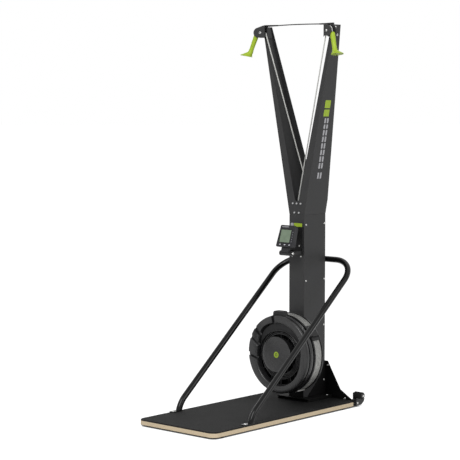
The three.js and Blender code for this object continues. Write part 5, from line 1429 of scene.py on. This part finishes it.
@dataclass
class FanHousing:
    """The front shell round an off-centre intake, a ring, the perforated band, the rear shell and the hub.

    A shell is a list of rows. Each holds a ring's place along the shaft and its radius, then where they
    aren't nothing how far its middle stands over the shaft, its share of a notch's depth, and its share of
    the way down to the intake's circle at the sides.
    """

    shaft_z: float = 315.0
    radius: float = 222.0
    front_y: float = 195.0
    drum_end_y: float = 249.7
    band_y: Pair = (250.3, 316.3)
    back_y: float = 359.7
    wall: float = 3.0
    steps: int = 360
    crease: float = 32.0
    intake_z: float = 293.0
    intake_radius: float = 154.0
    face_inner_radius: float = 177.0
    face_drop: float = 20.0
    rim_radius: float = 219.5
    rim_round: float = 9.0
    # where the dark sheet of painted shade sits inside the band
    shade_liner_radius: float = 215.0
    drum_radius: float = 211.0
    ring_y: Pair = (217.0, 241.0)
    ring_radius: float = 220.6
    ribs: Pair = (6.5, 12.5)
    notches: tuple[float, ...] = (100.0, 141.0, 157.5, 184.0)
    notch_half: float = 2.0
    notch_ramp: float = 0.7
    notch_depth: float = 13.0
    notch_lean: float = 0.5
    hole: float = 2.2
    cells_round: int = 200
    cells_across: int = 8
    sheet: float = 1.2
    band_rim: float = 11.0
    guard_rings: tuple[Pair, ...] = ((112.0, 117.0), (121.0, 124.5), (130.0, 133.5), (139.0, 142.5))
    guard_y: Place = (221.6, 222.4, 225.2)
    tab_top: float = 242.6
    tab_root: float = 222.6
    tab_y: Pair = (210.0, 250.0)
    plate_angles: Pair = (29.8, 48.7)
    plate_rise: Pair = (0.3, 3.4)
    crescent_turn: float = 80.0
    crescent_fade: float = 0.75

    def build(self) -> None:
        """Makes the shells, the band and the hub."""
        for name, shape, finish, replaced in (
                ("front_shell", self.front_shell(), SHELL_ABS, ["housing_front"]),
                ("inner_drum", self.inner_drum(), FAN_NYLON, []),
                ("middle_ring", self.middle_ring(), SHELL_ABS, []),
                ("intake_cove", self.intake_cove(), COVE_ABS, []),
                ("intake_lip", self.intake_lip(), SHELL_ABS, []),
                ("screen_rims", self.screen_rims(), FAN_NYLON, []),
                ("screen_shade_liner", self.screen_shade_liner(), FAN_NYLON, []),
                ("rear_shell", self.rear_shell(), SHELL_ABS, ["housing_rear"]),
                ("ring_ribs", self.rib_faces(), RIB_ABS, [])):
            piece(f"fan_{name}", shape, finish, replaces=replaced, crease=self.crease)
        piece("fan_top_tab", self.top_tab(), ARM_ABS, edge=2.0, crease=40)
        screen = piece("fan_screen", self.screen(), SCREEN_STEEL, replaces=["screen_band"], crease=45)
        thicken = screen.modifiers.new("sheet", "SOLIDIFY")
        thicken.thickness, thicken.offset = self.sheet * MM, 0.0
        piece("hub_cap", self.hub(), SHELL_ABS, replaces=["hub_cover"], crease=self.crease)
        piece("hub_ring", self.hub_ring(), GREEN_FILM)
        piece("guard_rings", self.hoops(), SHELL_ABS, crease=self.crease)
        piece("damper_slide_plate", self.slide_plate(), ARM_ABS, "damper", edge=1.0, crease=40)
        for node, finish, edge in (
                ("intake_guard", FAN_NYLON, 0.9), ("damper_lever", ARM_ABS, 0.8),
                ("band_clip", SCREEN_STEEL, 1.0)):
            dress(node, finish, edge)

    def closeness(self, angle: float) -> float:
        """How far the face's inner edge keeps to the intake: wholly at the sides, not at all above it.

        Args:
            angle: the place round the shaft, in radians.

        Returns:
            The share, from 0 to 1.
        """
        toward = max(0.0, math.cos(angle - math.radians(self.crescent_turn))) / self.crescent_fade
        share = min(1.0, toward)
        return 1.0 - share * share * (3.0 - 2.0 * share)

    def loop(self, shape: Shape, y: float, radius: float, lift: float = 0.0, carve: float = 0.0,
             drop: float = 0.0) -> list[int]:
        """Adds one ring of a shell.

        Args:
            shape: the shell's shape.
            y: the ring's place along the shaft.
            radius: its radius.
            lift: how far its middle stands over the shaft.
            carve: how much of a notch's depth it takes.
            drop: how much of the way it goes down to the intake's circle at the sides.

        Returns:
            The ring's numbers.
        """
        points = []
        reached = self.notch_half + self.notch_ramp
        for i in range(self.steps):
            angle = TURN * i / self.steps
            depth = 0.0
            for notch in self.notches:
                away = abs(math.degrees(angle) - notch)
                depth = max(depth, min(1.0, max(0.0, (reached - away) / self.notch_ramp)))
            sunk = carve * depth * self.notch_depth
            low = drop * self.closeness(angle)
            reach = radius - sunk * self.notch_lean - low * self.face_drop
            height = self.shaft_z + lift - low * (self.shaft_z - self.intake_z)
            points.append((reach * math.cos(angle), y + sunk, height + reach * math.sin(angle)))
        return shape.ring(points)

    def shell(self, rows: Points) -> Shape:
        """A closed shell through rings.

        Args:
            rows: the rings, as the class describes them.

        Returns:
            The shell's shape.
        """
        shape = Shape()
        loops = [self.loop(shape, *row) for row in rows]
        along = 0.0
        for before, here, row, last in zip(loops, loops[1:] + loops[:1], [*rows[1:], rows[0]], rows):
            step = math.dist(row[:2], last[:2])
            shape.bridge(before, here, along, along + step)
            along += step
        return shape

    def front_shell(self) -> Shape:
        """The front shell, from its rear edge over the rim and across its face to the intake.

        Returns:
            Its shape.
        """
        f, r, inner, rim = self.front_y, self.rim_radius, self.face_inner_radius, self.rim_round
        rows: list[tuple[float, ...]] = [
            (f + 14, r - 12), (f + 14, r - 1.4), (f + 13.4, r - 0.4), (f + 12.4, r, 0, 0.3)]
        for i in range(9):
            angle = i / 8 * math.pi / 2
            rows.append((
                f + rim - rim * math.sin(angle), r - rim + rim * math.cos(angle), 0, min(1.0, 0.5 + i / 4)))
        rows += [
            (f, inner + 6, 1, 1, 1), (f + 1.2, inner + 3, 1, 1, 1), (f + 4, inner + 0.6, 1, 0.8, 1),
            (f + 15, inner - 4.4, 0, 0.1, 1), (f + 17, inner - 5, 0, 0, 1), (f + 18, inner - 3, 0, 0, 1),
            (f + 17, inner, 0, 0, 1), (f + 16, inner + 6, 0, 0, 1), (f + 16, r - 14)]
        return self.shell(rows)

    def inner_drum(self) -> Shape:
        """The black drum that shows in the gaps before and behind the middle ring.

        Returns:
            Its shape.
        """
        f, b, r = self.front_y, self.drum_end_y, self.drum_radius
        inside = r - self.wall
        return self.shell([(f + 13, r - 1.6), (f + 16, r), (b, r), (b, inside), (f + 17, inside)])

    def middle_ring(self) -> Shape:
        """The ring between the gaps, with two fine ribs.

        Returns:
            Its shape.
        """
        (a, b), r = self.ring_y, self.ring_radius
        rows = [(a, self.drum_radius - 1), (a, r - 1.4), (a + 0.5, r - 0.4), (a + 1.4, r)]
        for rib in (a + place for place in self.ribs):
            rows += [(rib, r), (rib + 0.5, r + 1.2), (rib + 1.7, r + 1.2), (rib + 2.2, r)]
        return self.shell([*rows, (b - 1.4, r), (b - 0.5, r - 0.4), (b, r - 1.4), (b, self.drum_radius - 1)])

    def rib_faces(self) -> Shape:
        """The polished faces of the middle ring's two ribs, which catch the light, in a lighter colour:
        painted highlight.

        Returns:
            Their shape.
        """
        r = self.ring_radius
        return Shape().joined(*[self.shell([
            (rib + 0.3, r + 1.0), (rib + 0.5, r + 1.35), (rib + 1.7, r + 1.35), (rib + 1.9, r + 1.0)])
            for rib in (self.ring_y[0] + place for place in self.ribs)])

    def intake_cove(self) -> Shape:
        """The dark recess between the face and the intake, widest above it: partly black moulding, partly
        painted shade.

        Returns:
            Its shape.
        """
        f, top, r = self.front_y, self.face_inner_radius, self.intake_radius
        low = self.intake_z - self.shaft_z
        return self.shell([
            (f + 17.5, top + 1, 0, 0, 1), (f + 18.5, top - 5, -1, 0, 0.6), (f + 22, r + 7, low + 4),
            (f + 23, r + 3, low), (f + 29.5, r + 2.6, low), (f + 29.5, r + 4, low), (f + 25, r + 10, low + 4),
            (f + 21, top + 1, -1, 0, 1)])

    def intake_lip(self) -> Shape:
        """The rounded lip of the intake.

        Returns:
            Its shape.
        """
        f, r, low = self.front_y, self.intake_radius, self.intake_z - self.shaft_z
        turns = [i / 8 * math.pi for i in range(9)]
        rows = [(f + 21.5 - 2.2 * math.sin(turn), r + 2.2 + 2.2 * math.cos(turn), low) for turn in turns]
        return self.shell([*rows, (f + 29, r, low), (f + 29, r + 2.4, low), (f + 23, r + 4.4, low)])

    def screen_rims(self) -> Shape:
        """The black strips over the band's two plain edges.

        Returns:
            Their shape.
        """
        r, (low, high) = self.radius, self.band_y
        return Shape().joined(*[self.shell([
            (a, r - 0.3), (a + 0.3, r), (b - 0.3, r), (b, r - 0.3), (b, r - 2.2), (a, r - 2.2)])
            for a, b in ((low, low + self.band_rim), (high - 4, high))])

    def screen_shade_liner(self) -> Shape:
        """A dark sheet inside the band that shows through its holes: painted shade for the housing's dark
        inside.

        Returns:
            Its shape.
        """
        r, (low, high) = self.shade_liner_radius, self.band_y
        return self.shell([(low, r), (high, r), (high, r - 1.5), (low, r - 1.5)])

    def rear_shell(self) -> Shape:
        """The rear shell, from its proud rim back to the column.

        Returns:
            Its shape.
        """
        y, r, b = self.band_y[1] + 0.3, self.radius, self.back_y
        return self.shell([
            (y, r - 3), (y, r + 3.2), (y + 0.8, r + 4), (y + 7.2, r + 4), (y + 8, r + 3.2), (y + 8, r),
            (y + 14, r - 4), (y + 24, r - 22), (y + 34, r - 45), (b - 3, r - 68), (b, r - 72), (b, 60),
            (b - 3, 60), (b - 3, r - 75), (y + 20, r - 22), (y + 5, r - 4.5)])

    def top_tab(self) -> Shape:
        """The raised tab over the shell's top, a little left of the middle.

        Returns:
            Its shape.
        """
        outline = [(x, self.shaft_z + z) for x, z in (
            (-48, 214), (-45, 236), (-38, self.tab_top), (18, self.tab_top), (26, 238), (31, 219.5))]
        for i in range(12):
            angle = math.radians(82 + 20.5 * i / 12)
            outline.append((self.tab_root * math.cos(angle), self.shaft_z + self.tab_root * math.sin(angle)))
        front, rear = self.tab_y
        return prism(outline, 0, rear - front).placed(turned_back((0, front, 0)))

    def slide_plate(self) -> Shape:
        """The black plate under the damper lever, which slides over the band with it.

        Returns:
            Its shape.
        """
        outline = []
        first, last = self.plate_angles
        for rise, turns in ((self.plate_rise[0], range(13)), (self.plate_rise[1], range(12, -1, -1))):
            for i in turns:
                angle, reach = math.radians(first + (last - first) * i / 12), self.radius + rise
                outline.append((reach * math.cos(angle), self.shaft_z + reach * math.sin(angle)))
        low, high = self.band_y
        return prism(outline, 0, high - low + 0.2).placed(turned_back((0, low - 0.1, 0)))

    def screen(self) -> Shape:
        """The band's sheet: a plain rim at each edge and rows of round holes between them.

        Returns:
            Its shape.
        """
        shape = Shape()
        radius, around, across = self.radius - 1.0, self.cells_round, self.cells_across
        low, high = self.band_y[0] + self.band_rim, self.band_y[1] - self.band_rim
        width, girth = (high - low) / across, TURN * radius / around

        def at(turn: float, y: float) -> Vector:
            """A point of the sheet at a distance round it and a place along the shaft."""
            angle = turn / radius
            return Vector((radius * math.cos(angle), y, self.shaft_z + radius * math.sin(angle)))

        count = 2 * around
        edges = [shape.ring([at(i * girth / 2, y) for i in range(count)]) for y in self.band_y]
        lines = [
            shape.ring([at(i * girth / 2, low + row * width) for i in range(count)])
            for row in range(across + 1)]
        middles = [
            shape.ring([at(i * girth, low + (row + 0.5) * width) for i in range(around)])
            for row in range(across)]
        shape.bridge(edges[0], lines[0])
        shape.bridge(lines[-1], edges[1])
        corners = [math.radians(225 + 45 * k) for k in range(8)]
        for row in range(across):
            here, above, side = lines[row], lines[row + 1], middles[row]
            for i in range(around):
                turn, y = (i + 0.5) * girth, low + (row + 0.5) * width
                a, b, c = 2 * i, 2 * i + 1, (2 * i + 2) % count
                after = side[(i + 1) % around]
                outer = [here[a], here[b], here[c], after, above[c], above[b], above[a], side[i]]
                shape.bridge(outer, shape.ring([
                    at(turn + self.hole * math.cos(k), y + self.hole * math.sin(k)) for k in corners]))
        return shape

    def hub(self) -> Shape:
        """The hub cap: a shallow dished disc on a skirt.

        Returns:
            Its shape.
        """
        y = self.front_y - 12
        profile = [
            (0, y + 0.5), (60, y + 0.5), (84, y + 0.2), (95, y), (99, y + 0.6), (101.4, y + 1.8),
            (102, y + 3), (101, y + 4.2), (94, y + 5), (92, y + 8), (92, 225), (89, 225), (89, y + 5),
            (0, y + 5)]
        return lathe(profile, 96).placed(turned_back((0, 0, self.shaft_z)))

    def hub_ring(self) -> Shape:
        """The green ring and dot in the middle of the hub cap.

        Returns:
            Their shape.
        """
        ring = lathe([(9, 0), (9.4, 0.5), (16.6, 0.5), (17, 0)], 48, closed=True)
        dot = lathe([(0, 0.5), (4.6, 0.5), (5, 0)], 32)
        return ring.joined(dot).placed(aimed((0, self.front_y - 12.0, self.shaft_z), FORWARD))

    def hoops(self) -> Shape:
        """The fine rings in the intake.

        Returns:
            Their shape.
        """
        front, chamfer, rear = self.guard_y
        hoops = [lathe([
            (inner, chamfer), (inner + 0.8, front), (outer - 0.8, front), (outer, chamfer), (outer, rear),
            (inner, rear)], 96, closed=True) for inner, outer in self.guard_rings]
        return Shape().joined(*hoops).placed(turned_back((0, 0, self.shaft_z)))


@dataclass
class FanWorks:
    """What turns inside: the fan, its shaft and bearings, and the cord drums."""

    edges: tuple[tuple[str, Finish, float], ...] = (
        ("flywheel", FAN_NYLON, 0.6), ("flywheel_shaft", ZINC_STEEL, 0.4), ("bearing_front", FRAME_COAT, 0.4),
        ("bearing_rear", FRAME_COAT, 0.4), ("drum_right", ZINC_STEEL, 0.4), ("drum_left", ZINC_STEEL, 0.4))

    def build(self) -> None:
        """Dresses the works."""
        for node, finish, edge in self.edges:
            dress(node, finish, edge)


@dataclass
class Monitor:
    """The tilting monitor: case, display in its frame, keys, and the bracket with its pin."""

    hinge: Place = (0.0, 272.0, 880.0)
    pin_x: float = 44.2
    tilt: float = -17.5
    face_y: float = -35.0
    bar: Four = (-40.0, 8.0, 140.5, 146.5)
    screen_middle: Pair = (-5.0, 90.5)
    screen_half: float = 36.5
    frame_rings: tuple[Pair, ...] = (
        (0.2, 0.1), (0.2, 0.9), (1.0, 1.3), (3.4, 1.3), (4.4, 0.7), (4.8, -0.1))
    plate_screws: tuple[Place, ...] = ((25.0, 351.8, 917.0), (31.0, 360.0, 857.0))

    def place(self) -> Matrix:
        """The monitor's own place: x across, y back and z up along its face."""
        return Matrix.Translation(Vector(self.hinge)) @ Matrix.Rotation(math.radians(self.tilt), 4, "X")

    def build(self) -> None:
        """Dresses the monitor and adds what is on its face."""
        dress("monitor_bracket", ARM_ABS, 1.2)
        dress("monitor_front_case", CASE_ABS, 1.6)
        dress("monitor_back_case", CASE_ABS, 2.0)
        dress("monitor_lens", DISPLAY, 0.3)
        for stem, count, finish in (("side_button", 5, SIDE_KEY_SILICONE), ("menu_button", 3, KEY_SILICONE)):
            for number in range(1, count + 1):
                dress(f"{stem}_{number}", finish, 0.6)
        piece("display_frame", self.display_frame().placed(self.place()), FAN_NYLON, "monitor")
        bar = prism(rounded(box_outline(*self.bar), 2), -FILM, SUNK).placed(turned_back((0, self.face_y, 0)))
        piece("monitor_top_bar", bar.placed(self.place()), DIM_FILM, "monitor")
        Fastener(8.0, 4.5).set_row("hinge_pin_ends", both_sides([(self.pin_x, *self.hinge[1:])]))
        Fastener(5.0, 2.8).set_row("wall_plate_screws", both_sides(self.plate_screws, FORWARD))

    def display_frame(self) -> Shape:
        """A thin dark frame that stands a little over the face round the display.

        Returns:
            Its shape.
        """
        x, z = self.screen_middle
        shape = Shape()
        rings = []
        for margin, rise in self.frame_rings:
            half = self.screen_half + margin
            outline = rounded(box_outline(x - half, x + half, z - half, z + half), 1.5 + margin * 0.6)
            rings.append(shape.ring([(a, self.face_y - rise, b) for a, b in outline]))
        for before, here in zip(rings, rings[1:] + rings[:1]):
            shape.bridge(before, here)
        return shape


def main() -> None:
    """Builds the machine in order, camera and cords first."""
    logging.basicConfig(level=logging.INFO, format="%(message)s")
    Studio().build()
    cords = Cords()
    cords.build()
    Handles().build(cords)
    for part in (Platform(), TransportWheels(), Column(), Arms(), TopBrackets(), Braces(), FanHousing(),
                 FanWorks(), Monitor()):
        part.build()
        LOG.info("built %s", type(part).__name__)


if __name__ == "__main__":
    main()
